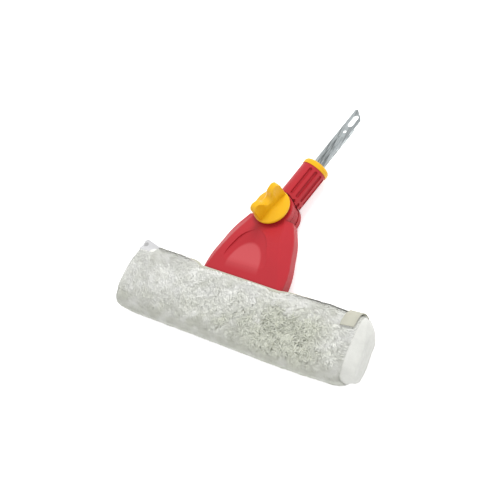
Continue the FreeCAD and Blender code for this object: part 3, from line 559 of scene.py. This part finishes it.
def lip(x, front):
    """Distance of one lip of the slit from the middle at x: spread round the fan, closing to both ends."""
    places = [-FAN_HALF_WIDTH - SLIT_LEFT, -FAN_HALF_WIDTH, FAN_HALF_WIDTH, FAN_HALF_WIDTH + SLIT_RIGHT]
    wide = np.where(front, SLIT_FRONT, SLIT_REAR)
    return SLIT_SHUT + (wide - SLIT_SHUT) * np.interp(x, places, [0, 1, 1, 0])


def looseness(points):
    """How curly the pile is, from 0 to 1: bell-shaped spots, fading out at its top and at both ends."""
    x, y = points[:, 0], points[:, 1]
    spots = sum(gain * np.exp(-((x - at_x) / wide) ** 2 - ((y - at_y) / tall) ** 2)
                for gain, at_x, at_y, wide, tall in CURLY_SPOTS)
    top = np.clip((CALM_TOP - y) / TOP_FADE, 0, 1)
    ends = np.clip(np.minimum(x - CALM_ENDS[0], CALM_ENDS[1] - x) / END_FADE, 0, 1)
    return np.clip(0.05 + spots, 0, 1) * top * ends


def swell(piece, voxel, pressure, cap, frames=20):
    """Puffs up a closed piece by a cloth simulation under pressure, without gravity, each move capped."""
    scene = bpy.context.scene
    remesh = piece.modifiers.new("remesh", "REMESH")
    remesh.mode = "VOXEL"
    remesh.voxel_size = voxel
    keep_result(piece)
    before = place_of(piece)
    cloth = piece.modifiers.new("cloth", "CLOTH")
    cloth.settings.use_pressure = True
    cloth.settings.uniform_pressure_force = pressure
    cloth.settings.effector_weights.gravity = 0
    cloth.point_cache.frame_end = frames
    for k in range(1, frames + 1):
        scene.frame_set(k)
    after = place_of(piece.evaluated_get(bpy.context.evaluated_depsgraph_get()))
    piece.modifiers.remove(cloth)
    scene.frame_set(1)
    move = after - before
    far = np.linalg.norm(move, axis=1, keepdims=True)
    print(piece.name, "swelled by", float(far.mean()), "at most", float(far.max()))
    before += move * np.minimum(1, cap / np.maximum(far, 1e-9))
    piece.data.vertices.foreach_set("co", before.ravel())
    soften = piece.modifiers.new("soften", "SMOOTH")
    soften.factor = 0.5
    soften.iterations = 5
    piece.modifiers.new("smooth", "SUBSURF").levels = 1
    keep_result(piece)
    return piece


def keep_result(piece):
    """Applies the piece's modifiers and drops them."""
    ready = piece.evaluated_get(bpy.context.evaluated_depsgraph_get())
    mesh = bpy.data.meshes.new_from_object(ready)
    piece.modifiers.clear()
    piece.data = mesh
    mesh.shade_smooth()


def place_of(piece):
    """The piece's points as an (n, 3) array."""
    points = np.zeros(len(piece.data.vertices) * 3)
    piece.data.vertices.foreach_get("co", points)
    return points.reshape(-1, 3)


class WASHER_OT_fleece(bpy.types.Operator):
    """Adds the knitted ground of the sleeve and its thousands of curls."""
    bl_idname = "washer.fleece"
    bl_label = "Fleece"

    def execute(self, context):
        sleeve = context.scene.washer_sleeve
        ground = cloth_material("fleece ground", tuple(sleeve.ground_color))
        self.ground(sleeve, ground)
        tip, root, calm = tuple(sleeve.tip_color), tuple(sleeve.root_shade_color), tuple(sleeve.calm_color)
        self.curls(sleeve, pile_material("fleece pile", tip, root, calm))
        return {"FINISHED"}

    def ground(self, sleeve, material):
        """Oval sections along X, drawn in by the pile's depth, which is least where the pile is smooth."""
        along = np.concatenate([[-0.996], np.linspace(-0.99, 0.99, 240), [0.996]])
        turn = around(160)
        a, t = np.meshgrid(along, turn, indexing="ij")
        surface, _ = section_points(a.ravel(), t.ravel(), 0.0)
        least = 1.4 * MM
        depth = least + (sleeve.pile_depth - least) * looseness(surface)
        points, normals = section_points(a.ravel(), t.ravel(), depth)
        points += normals * (waves(points, 0.022, 5) * 0.4 * MM)[:, None]
        over = self.past_lip(sleeve, points)
        points[:, 1] = np.where(over, np.minimum(points[:, 1], HEM_FOOT), points[:, 1])
        piece = tube_of_rings("fleece_ground", points.reshape(len(along), len(turn), 3))
        return add(piece, material, "fleece", "head", "fleece_pile")

    def past_lip(self, sleeve, points):
        """Which points lie in the open slit or behind its tapes."""
        x, y, z = np.moveaxis(points, -1, 0)
        away = z - sleeve.middle
        return (y > HEM_FOOT) & (np.abs(away) < lip(x, away > 0) + TAPE + 0.3 * MM)

    def scatter(self, sleeve):
        """Tops, normals and draws of the curls: one in each cell of a grid, none where no pile grows."""
        spot, edge = even_turns()
        rows, columns = int(2 * span()[1] / sleeve.curl_spacing), int(edge / sleeve.curl_spacing)
        draw = np.random.default_rng(11)
        i, j = np.meshgrid(np.arange(rows), np.arange(columns), indexing="ij")
        i = (i + draw.uniform(0, 1, i.shape)).ravel() / rows
        j = (j + draw.uniform(0, 1, j.shape)).ravel() / columns
        tops, normals = section_points(i * 2 - 1, spot(j), 0.0)
        x, y, z = tops.T
        x[:] = np.clip(x, -sleeve.left + MM, sleeve.right - MM)
        on_tab = (x < TAB_EDGE) & (y > TAB_LOW) & (z > TAB_BACK)
        thin = (z < 4 * MM) & (draw.uniform(0, 1, len(tops)) > 0.3)
        keep = ~(self.past_lip(sleeve, tops) | on_tab | thin)
        return tops[keep], normals[keep], draw.uniform(0, 1, (keep.sum(), 6))

    def curls(self, sleeve, material):
        """Each curl leaves the ground, bends over and turns on the way as a thin tapered horn, its top at the
        sleeve's surface."""
        tops, normals, draws = self.scatter(sleeve)
        loose = looseness(tops) * np.clip(1 + 0.5 * waves(tops, 0.024, 41), 0, 1)
        nap = {name: calm + (wild - calm) * loose for name, (calm, wild) in NAP.items()}
        side = unit(np.cross(normals, np.array([1.0, 0, 0])))
        t = np.linspace(0, 1, CURL_STATIONS)
        line = self.lay(sleeve, tops, normals, side, draws, loose, nap, t)
        run = unit(np.gradient(line, axis=1))
        first = unit(np.cross(run, normals[:, None] + 0.3 * side[:, None]))
        second = np.cross(run, first)
        taper = sleeve.curl_radius * (1.05 - 0.75 * t ** 2) * (0.8 + 0.4 * draws[:, 5])[:, None]
        angle = np.arange(CURL_SIDES)[:, None] * 2 * np.pi / CURL_SIDES
        ring = (np.cos(angle) * first[:, :, None] * nap["broad"][:, None, None, None]
                + np.sin(angle) * second[:, :, None] * nap["thin"][:, None, None, None])
        points = line[:, :, None] + ring * taper[:, :, None, None]
        points[..., 2] = np.maximum(points[..., 2], 0.3 * MM)
        # Painted shade: besides its random and wavy changes, the curls' tone falls towards the sleeve's
        # bottom (low), which also lowers the share of the pale calm colour that the UV carries.
        low = np.clip(-tops[:, 1] / 0.045, 0, 1)
        pale = 0.70 + 0.15 * (draws[:, 4] - 0.5) + 0.30 * waves(tops, 0.020, 51) - 0.45 * low
        calm = (0.42 + 0.58 * np.clip(pale, 0, 1)) * np.clip(1.05 - 1.2 * loose, 0, 1)
        uv = stacked(calm[:, None, None], np.tile(t[:, None], CURL_SIDES))
        self.pieces(sleeve, tops, points, uv, material)

    def lay(self, sleeve, tops, normals, side, draws, loose, nap, t):
        """Middle lines of the curls: equal steps whose lean and turn grow from root to tip. The pile flows
        one way along the sleeve, and towards the cloth at both ends."""
        to_right, to_left = ((np.clip(way * tops[:, 0] - inner, 0, 0.012) / 0.012)
                             for way, inner in ((1, 0.158), (-1, 0.150)))
        flow = (waves(tops, 0.060, 31) * nap["flow"] - 1.2) * (1 - to_right) * (1 - to_left)
        flow -= (math.pi - 0.2) * to_left
        stray = draws[:, 0] - 0.5
        lean = flow + loose * (waves(tops, 0.007, 33) * 3.6 + stray * 2.4) + stray * 0.7
        size = sleeve.curl_length * (nap["size"] + 0.3 * (draws[:, 1] - 0.5))
        start = nap["root"] + nap["root_draw"] * draws[:, 2]
        bend = start[:, None] + (nap["bend"] + nap["bend_draw"] * draws[:, 3])[:, None] * t
        twist = lean[:, None] + ((draws[:, 4] - 0.5) * nap["twist"])[:, None] * t
        way = (np.cos(bend)[..., None] * normals[:, None]
               + (np.sin(bend) * np.cos(twist))[..., None] * np.cross(side, normals)[:, None]
               + (np.sin(bend) * np.sin(twist))[..., None] * side[:, None])
        step = size[:, None, None] / (CURL_STATIONS - 1)
        line = np.concatenate([np.zeros((len(tops), 1, 3)), np.cumsum(way[:, :-1] * step, axis=1)], axis=1)
        rise = (line * normals[:, None]).sum(-1).max(1)
        clump = waves(tops, 0.0065, 21) * nap["clump"] + waves(tops, 0.016, 23) * 0.15
        height = (clump + 0.2 + nap["height_draw"] * (draws[:, 5] - 0.5)) * MM
        height = np.where((tops > STRAP_CORNER).all(1), np.minimum(height, -0.6 * MM), height)
        line += (tops + normals * (height - rise)[:, None])[:, None]
        return self.hold_back(sleeve, line, tops)

    def pieces(self, sleeve, tops, points, uv, material):
        """Splits the curls into pieces by their place along the sleeve, so that none gets too heavy."""
        stations, sides = CURL_STATIONS, CURL_SIDES
        quads = grid_quads(stations, sides, wrap_columns=True, flip=True)
        tips = stations * sides - 1 - np.arange(sides)[None]
        bounds = np.linspace(-sleeve.left, sleeve.right, CURL_PIECES + 1)
        for k in range(CURL_PIECES):
            here = (tops[:, 0] >= bounds[k]) & (tops[:, 0] < bounds[k + 1] + (k == CURL_PIECES - 1))
            shift = np.arange(here.sum())[:, None, None] * stations * sides
            piece = mesh_object(f"fleece_curls_{k + 1}", points[here], (quads[None] + shift).reshape(-1, 4),
                                (tips[None] + shift).reshape(-1, 3), uv[here])
            add(piece, material, "fleece", "head")

    def hold_back(self, sleeve, line, tops):
        """Curls by the slit stay on their own side of its tapes, those at the ends over the cloth ends."""
        x, y, z = np.moveaxis(line, -1, 0)
        away = z - sleeve.middle
        front = (tops[:, 2] > sleeve.middle)[:, None]
        home = np.where(front, 1.0, -1.0)
        wall = lip(x, front) + TAPE + 0.8 * MM
        tall = y > HEM_FOOT
        z[:] = np.where(tall, sleeve.middle + home * np.maximum(away * home, wall), z)
        crest = top_at(x, wall) + 0.6 * MM
        by_lip = tall & (away * home < wall + 3 * MM)
        y[:] = np.where(by_lip, np.minimum(y, crest), y)
        by_tab = (x < TAB_EDGE) & (y > TAB_LOW - 0.6 * MM)
        z[:] = np.where(by_tab, np.minimum(z, TAB_BACK - 0.8 * MM), z)
        x[:] = np.clip(x, -sleeve.left - 3 * MM, sleeve.right + 5 * MM)
        return line


class WASHER_OT_ends(bpy.types.Operator):
    """Adds the smooth cloth that closes each end of the sleeve."""
    bl_idname = "washer.ends"
    bl_label = "Cloth ends"

    def execute(self, context):
        sleeve = context.scene.washer_sleeve
        cloth = cloth_material("end cloth", tuple(sleeve.cloth_color))
        for name, side, start in (("end_panel_left", -1, sleeve.left), ("end_panel_right", 1, sleeve.right)):
            self.dome(sleeve, cloth, name, side, start, *END_BULGES[name])
        return {"FINISHED"}

    def dome(self, sleeve, material, name, side, start, bulge, drop):
        """Rings of the sleeve's end section that shrink along the bulge and close as a low cap, then swollen
        as cloth under pressure and pleated by a fraction of a millimetre."""
        share = SECTION_SHARES[-1 if side > 0 else 0]
        v = np.linspace(0, 1, 16)
        size = 1 - 0.02 * v - 0.28 * v ** 2
        fall = drop * v ** 4
        x = start + SKIN + (bulge - END_CAP) * v
        cap = np.linspace(0, 0.96, 9)[1:]
        size = np.concatenate([[0.5, 0.985, 1.0], size, size[-1] * (1 - cap)])
        fall = np.concatenate([[0, 0, 0], fall, np.full(len(cap), drop)])
        deep, shallow = start - END_TUCKS[0], start - END_TUCKS[1]
        x = np.concatenate([[deep, deep, shallow], x, x[-1] + END_CAP * np.sin(cap * np.pi / 2)])
        turn = around(180)
        y, z = oval(turn, ROUNDNESS - 0.06 * np.clip(x[:, None] - start, 0, bulge) / bulge)
        y *= sleeve.height / 2 * share[1] - SKIN
        z *= sleeve.thickness / 2 * share[2] - SKIN
        x, size, fall = x[:, None], size[:, None], fall[:, None]
        points = stacked(side * x, y * size - fall + share[3] * sleeve.height, z * size + sleeve.middle)
        piece = tube_of_rings(name + "_cloth", points, flip=side < 0)
        swell(piece, voxel=2.6 * MM, pressure=4.0, cap=1.5 * MM)
        flat = place_of(piece)
        outer = np.clip((side * flat[:, 0] - start - MM) / (3 * MM), 0, 1)
        flow = np.stack([flat[:, 0] * 1.6, flat[:, 1] * 0.35, flat[:, 2]], -1)
        flat[:, 0] += side * (waves(flow, 0.010, 8 + side) * 0.5 - 0.2) * MM * outer
        flat[:, 2] = np.maximum(flat[:, 2], 0.4 * MM)
        piece.data.vertices.foreach_set("co", flat.ravel())
        return add(piece, material, "tape", "head", name)


class WASHER_OT_hems(bpy.types.Operator):
    """Adds the two folded tapes along the sleeve's slit, the strap and the stud's tab."""
    bl_idname = "washer.hems"
    bl_label = "Tapes and strap"

    def execute(self, context):
        sleeve = context.scene.washer_sleeve
        tape = tape_material("woven tape", tuple(sleeve.tape_color))
        for name, side in (("front_hem", 1), ("rear_hem", -1)):
            self.hem(sleeve, tape, name, side)
        self.strap(tape)
        self.tab(cloth_material("tab cloth", tuple(sleeve.tab_color)))
        return {"FINISHED"}

    def hem(self, sleeve, material, name, side):
        """Rounded strip section carried along the slit's lip, wavy by a few tenths of a millimetre."""
        x = np.linspace(*HEM_ENDS, 260)
        front = np.full(len(x), side > 0)
        z = 0.5 * (lip(x - 2 * MM, front) + lip(x + 2 * MM, front)) + 0.2 * MM + TAPE / 2
        beside = np.abs(x) > FAN_HALF_WIDTH + 10 * MM
        z += 0.2 * MM * (1 + np.sin(x * RIPPLE_PACE)) * beside
        half, foot = TAPE / 2 - SKIN, HEM_FOOT
        if side > 0:
            top = top_at(x, z) + np.where(x < -FAN_HALF_WIDTH, 1.4 * MM, 0.3 * MM)
        else:
            top = sleeve.height / 2 + 3 * MM - 5 * MM * np.clip((x - 0.08) / 0.07, 0, 1)
        top = top + 0.6 * MM * np.sin(x * 95 + side) * beside
        section = np.array([(-1, 0.03), (-1, 0.93), (-0.6, 1.0), (0.6, 1.0),
                            (1, 0.93), (1, 0.03), (0.6, 0), (-0.6, 0)])
        points = stacked(x[:, None], foot + (top - foot)[:, None] * section[:, 1],
                         sleeve.middle + side * (z[:, None] + half * section[:, 0]))
        run = run_of(stacked(x, z))
        across = (top - foot)[:, None] * (1 - section[:, 1]) + 1.5 * MM
        piece = tube_of_rings(name + "_tape", points, flip=side > 0, uv=stacked(run[:, None], across))
        add(piece, material, "tape", "head", name)

    def band(self, name, edges, low, high, lift):
        """Strip over the sleeve's section between the strap's turns, from a low to a high offset, with
        rounded edges, and lifted by slow waves along it."""
        turn = np.linspace(*STRAP_TURNS, 60)
        (x0, x1), edge = edges, 0.3 * MM
        x = np.array([x0, x0 + edge, x1 - edge, x1, x1 - edge, x0 + edge])
        rise = np.array([(low + high) / 2, high, high, (low + high) / 2, low, low])
        points = np.zeros((len(turn), len(x), 3))
        middle, half = span()
        wave = lift * np.sin(np.linspace(0, 9, len(turn)))[:, None] * 0.5
        for k in range(len(x)):
            place, normal = section_points(np.full(len(turn), (x[k] - middle) / half), turn, 0.0)
            points[:, k] = place + normal * (rise[k] + wave)
            points[:, k, 0] = x[k]
        run = run_of(points[:, 1])
        uv = stacked(run[:, None], x - x0)
        return tube_of_rings(name, points, flip=True, uv=uv), run[-1]

    def strap(self, material):
        """Strap over the right end's top corner, with its hook tape under it."""
        strap, long = self.band("closure_strap", STRAP_EDGES, 1.6 * MM, 2.7 * MM, 0.4 * MM)
        add(strap, material, "tape", "head", "closure_tab")
        hooks, long = self.band("hook_tape_strip", HOOK_EDGES, 0.5 * MM, 1.3 * MM, 0.0)
        add(hooks, plain("hook tape", (0.72, 0.72, 0.70), 0.7), "hook", "head", "hook_tape")

    def tab(self, material):
        """Cloth corner in rings that grow from its middle: a slanting outline with round corners, whose lower
        edge rises onto the pile."""
        low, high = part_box("stud_tab")
        foot = low[1] - TAB_FOOT
        corners = [(low[0], foot), (high[0], foot), (high[0], high[1] - TAB_SLANT),
                   (low[0] + TAB_CORNER, high[1]), (low[0], high[1] - TAB_CORNER)]
        edge = self.round_outline(np.array(corners), TAB_ROUND)
        centre = edge.mean(0)
        size = np.array([0.1, 0.35, 0.6, 0.8, 0.93, 0.99, 1.0, 0.99, 0.93, 0.8, 0.6, 0.35, 0.1])
        face = np.sign(6 - np.arange(len(size)))
        places = centre + (edge - centre) * size[:, None, None]
        rise = TAB_RISE * np.clip((TAB_REST - places[..., 1]) / TAB_REACH, 0, 1) ** 1.3
        points = np.zeros((*places.shape[:2], 3))
        points[..., :2] = places
        points[..., 2] = (low[2] + high[2]) / 2 + face[:, None] * (high[2] - low[2]) / 2 + rise
        points[..., 2] += 0.2 * MM * np.sin(places[..., 0] * RIPPLE_PACE)
        uv = np.stack([points[..., 0], points[..., 1] - low[1]], -1)
        piece = tube_of_rings("stud_tab_cloth", points, uv=uv)
        add(piece, material, "tape", "head", "stud_tab")

    def round_outline(self, corners, radius, count=240):
        """Points round a polygon, evenly spaced and with each corner rounded by a running mean."""
        closed = np.concatenate([corners, corners[:1]])
        run = run_of(closed)
        spot = np.linspace(0, run[-1], count, endpoint=False)
        even = np.stack([np.interp(spot, run, axis) for axis in closed.T], -1)
        reach = max(int(radius / run[-1] * count), 1)
        total = sum(np.roll(even, k, axis=0) for k in range(-reach, reach + 1))
        return total[::2] / (2 * reach + 1)


class WASHER_OT_housing(bpy.types.Operator):
    """Gives the two shells, the tongue, collar and ring their moulded finishes."""
    bl_idname = "washer.housing"
    bl_label = "Housing and grip"

    def execute(self, context):
        colors = context.scene.washer_plastics
        # The tongue gets the housing red darkened to 0.88 as painted shade.
        red, shaded_red = tuple(colors.red), tuple(0.88 * c for c in colors.red)
        return finish(
            (moulded("red plastic", red), "rear_shell", "fluted_collar"),
            (moulded("red shell with arch", red, recess=tuple(colors.arch)), "front_shell"),
            (moulded("red tongue", shaded_red, 0.5), "swivel_tongue"),
            (moulded("yellow ring", tuple(colors.yellow), 0.42), "collar_ring"))


class WASHER_OT_knob(bpy.types.Operator):
    """Gives the wing knob its finish."""
    bl_idname = "washer.knob"
    bl_label = "Wing knob"

    def execute(self, context):
        yellow = tuple(context.scene.washer_plastics.yellow)
        return finish((moulded("yellow knob", yellow, 0.4), "wing_knob"))


class WASHER_OT_metal(bpy.types.Operator):
    """Gives the steel tang, bolts, screws, brass and inner mouldings their finishes."""
    bl_idname = "washer.metal"
    bl_label = "Metal and inner parts"

    def execute(self, context):
        steel = tuple(context.scene.washer_plastics.steel)
        plated = tuple(0.95 * c for c in steel)
        return finish(
            (zinc("galvanised tang", steel, turn=math.radians(15)), "steel_tang"),
            (zinc("plated screws", plated, 0.3), "bar_screws", "shell_screws", "clamp_bolt", "clamp_washer",
             "tang_pins"),
            (plain("press stud", (0.50, 0.50, 0.50), 0.2, 1.0), "stud_cap", "stud_socket"),
            (plain("turned brass", (0.72, 0.52, 0.20), 0.3, 1.0), "knob_insert", "pivot_bush"),
            (plain("friction fibre", (0.05, 0.05, 0.05), 0.8), "front_friction_disc", "rear_friction_disc"),
            (plain("bar plastic", (0.06, 0.06, 0.065), 0.5), "t_bar", "bar_cap_left", "bar_cap_right"))


class WASHER_OT_backing(bpy.types.Operator):
    """Adds the woven tube that the bar slides into, under the pile."""
    bl_idname = "washer.backing"
    bl_label = "Backing tube"

    def execute(self, context):
        sleeve = context.scene.washer_sleeve
        low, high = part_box("sleeve_backing")
        half_y, half_z = (high[1] - low[1]) / 2, (high[2] - low[2]) / 2
        share_y, share_z = oval(around(96), 0.42)
        flat_top, flat_reach = 26.2 * MM, 60.5 * MM

        def ring(x, inset):
            """The tube's section at x, cut flat under the fan."""
            y, z = (half_y - inset) * share_y, (half_z - inset) * share_z
            cut = (y > flat_top - inset) & (abs(x) < flat_reach)
            y = np.where(cut, flat_top - inset, y)
            return stacked(x, y, z + sleeve.middle)

        places = np.linspace(low[0] + 0.1 * MM, high[0] - 0.1 * MM, 80)
        points = np.array([ring(x, 0.1 * MM) for x in places] + [ring(x, 1.1 * MM) for x in places[::-1]])
        quads = grid_quads(*points.shape[:2], wrap_rows=True, wrap_columns=True)
        piece = mesh_object("backing_tube", points.reshape(-1, 3), quads)
        cloth = cloth_material("backing cloth", tuple(sleeve.backing_color), pitch=0.0012)
        add(piece, cloth, "backing", "head", "sleeve_backing")
        return {"FINISHED"}


class WASHER_OT_stage(bpy.types.Operator):
    """Sets the floor, the soft lamps, the surrounding light and the camera."""
    bl_idname = "washer.stage"
    bl_label = "Stage"

    def execute(self, context):
        stage = context.scene.washer_stage
        self.floor(stage)
        self.world(context, stage)
        self.lamp("key_lamp", (0.05, 1.05, 1.12), 0.8, stage.key_power)
        self.lamp("fill_lamp", (0.6, -1.1, 1.2), 1.2, stage.fill_power)
        self.camera(context, stage)
        context.scene.view_settings.view_transform = "Standard"
        return {"FINISHED"}

    def floor(self, stage):
        """White floor just under the sleeve, which glows a little for the rays that are seen."""
        size, low = stage.floor_size, -0.3 * MM
        points = [(x * size, y * size, low) for x, y in ((-1, -1), (1, -1), (1, 1), (-1, 1))]
        floor = mesh_object("floor", points, [(0, 1, 2, 3)], smooth=False)
        material, tree, shader = new_material("pale floor")
        feed(tree, shader, {"Base Color": (0.92, 0.92, 0.92, 1), "Roughness": 0.9, "Emission Strength": 1.0,
                            "Emission Color": calc(tree, "MULTIPLY", seen(tree), 0.55)})
        dress(floor, material)

    def world(self, context, stage):
        """Even surround: white where it is seen, at the set level where it lights."""
        world = bpy.data.worlds.new("soft surround")
        context.scene.world = world
        world.use_nodes = True
        tree = world.node_tree
        feed(tree, tree.nodes["Background"], {"Color": (1, 1, 1, 1),
                                              "Strength": spread(tree, seen(tree), stage.world_level, 1.0)})

    def lamp(self, name, place, size, power):
        """Round lamp aimed at the washer's middle, left out of mirrored views."""
        data = bpy.data.lights.new(name, "AREA")
        data.shape = "DISK"
        data.size = size
        data.energy = power
        lamp = new_object(name, data)
        lamp.location = place
        lamp.visible_glossy = False
        aim = np.array([0.0, 0.09, 0.03]) - np.array(place)
        lamp.rotation_euler = Vector(aim).to_track_quat("-Z", "Y").to_euler()

    def camera(self, context, stage):
        """The photograph's view: the rows are the camera's right, up and backward directions."""
        data = bpy.data.cameras.new("camera")
        data.sensor_width = 36.0
        data.lens = stage.lens
        data.clip_start = 0.01
        camera = new_object("camera", data)
        right, up, back = (0.8174, 0.4244, -0.3894), (-0.2272, 0.8588, 0.4591), (0.5294, -0.2868, 0.7984)
        turn = Matrix((right, up, back)).transposed().to_4x4()
        camera.matrix_world = Matrix.Translation(stage.place) @ turn
        context.scene.camera = camera


class WASHER_PT_panel(bpy.types.Panel):
    bl_idname = "WASHER_PT_panel"
    bl_label = "Window strip washer"
    bl_space_type = "VIEW_3D"
    bl_region_type = "UI"
    bl_category = "Washer"

    def draw(self, context):
        for step in STEPS:
            self.layout.operator(step.bl_idname)


STEPS = (WASHER_OT_stage, WASHER_OT_fleece, WASHER_OT_ends, WASHER_OT_hems, WASHER_OT_housing, WASHER_OT_knob,
         WASHER_OT_metal, WASHER_OT_backing)
SETTINGS = {"washer_sleeve": WasherSleeve, "washer_plastics": WasherPlastics, "washer_stage": WasherStage}


def register():
    for item in (*SETTINGS.values(), *STEPS, WASHER_PT_panel):
        bpy.utils.register_class(item)
    for name, kind in SETTINGS.items():
        setattr(bpy.types.Scene, name, bpy.props.PointerProperty(type=kind))


def unregister():
    for name in SETTINGS:
        delattr(bpy.types.Scene, name)
    for item in (WASHER_PT_panel, *reversed(STEPS), *reversed(SETTINGS.values())):
        bpy.utils.unregister_class(item)


def main():
    register()
    for step in STEPS:
        area, name = step.bl_idname.split(".")
        getattr(getattr(bpy.ops, area), name)()


if __name__ == "__main__":
    main()
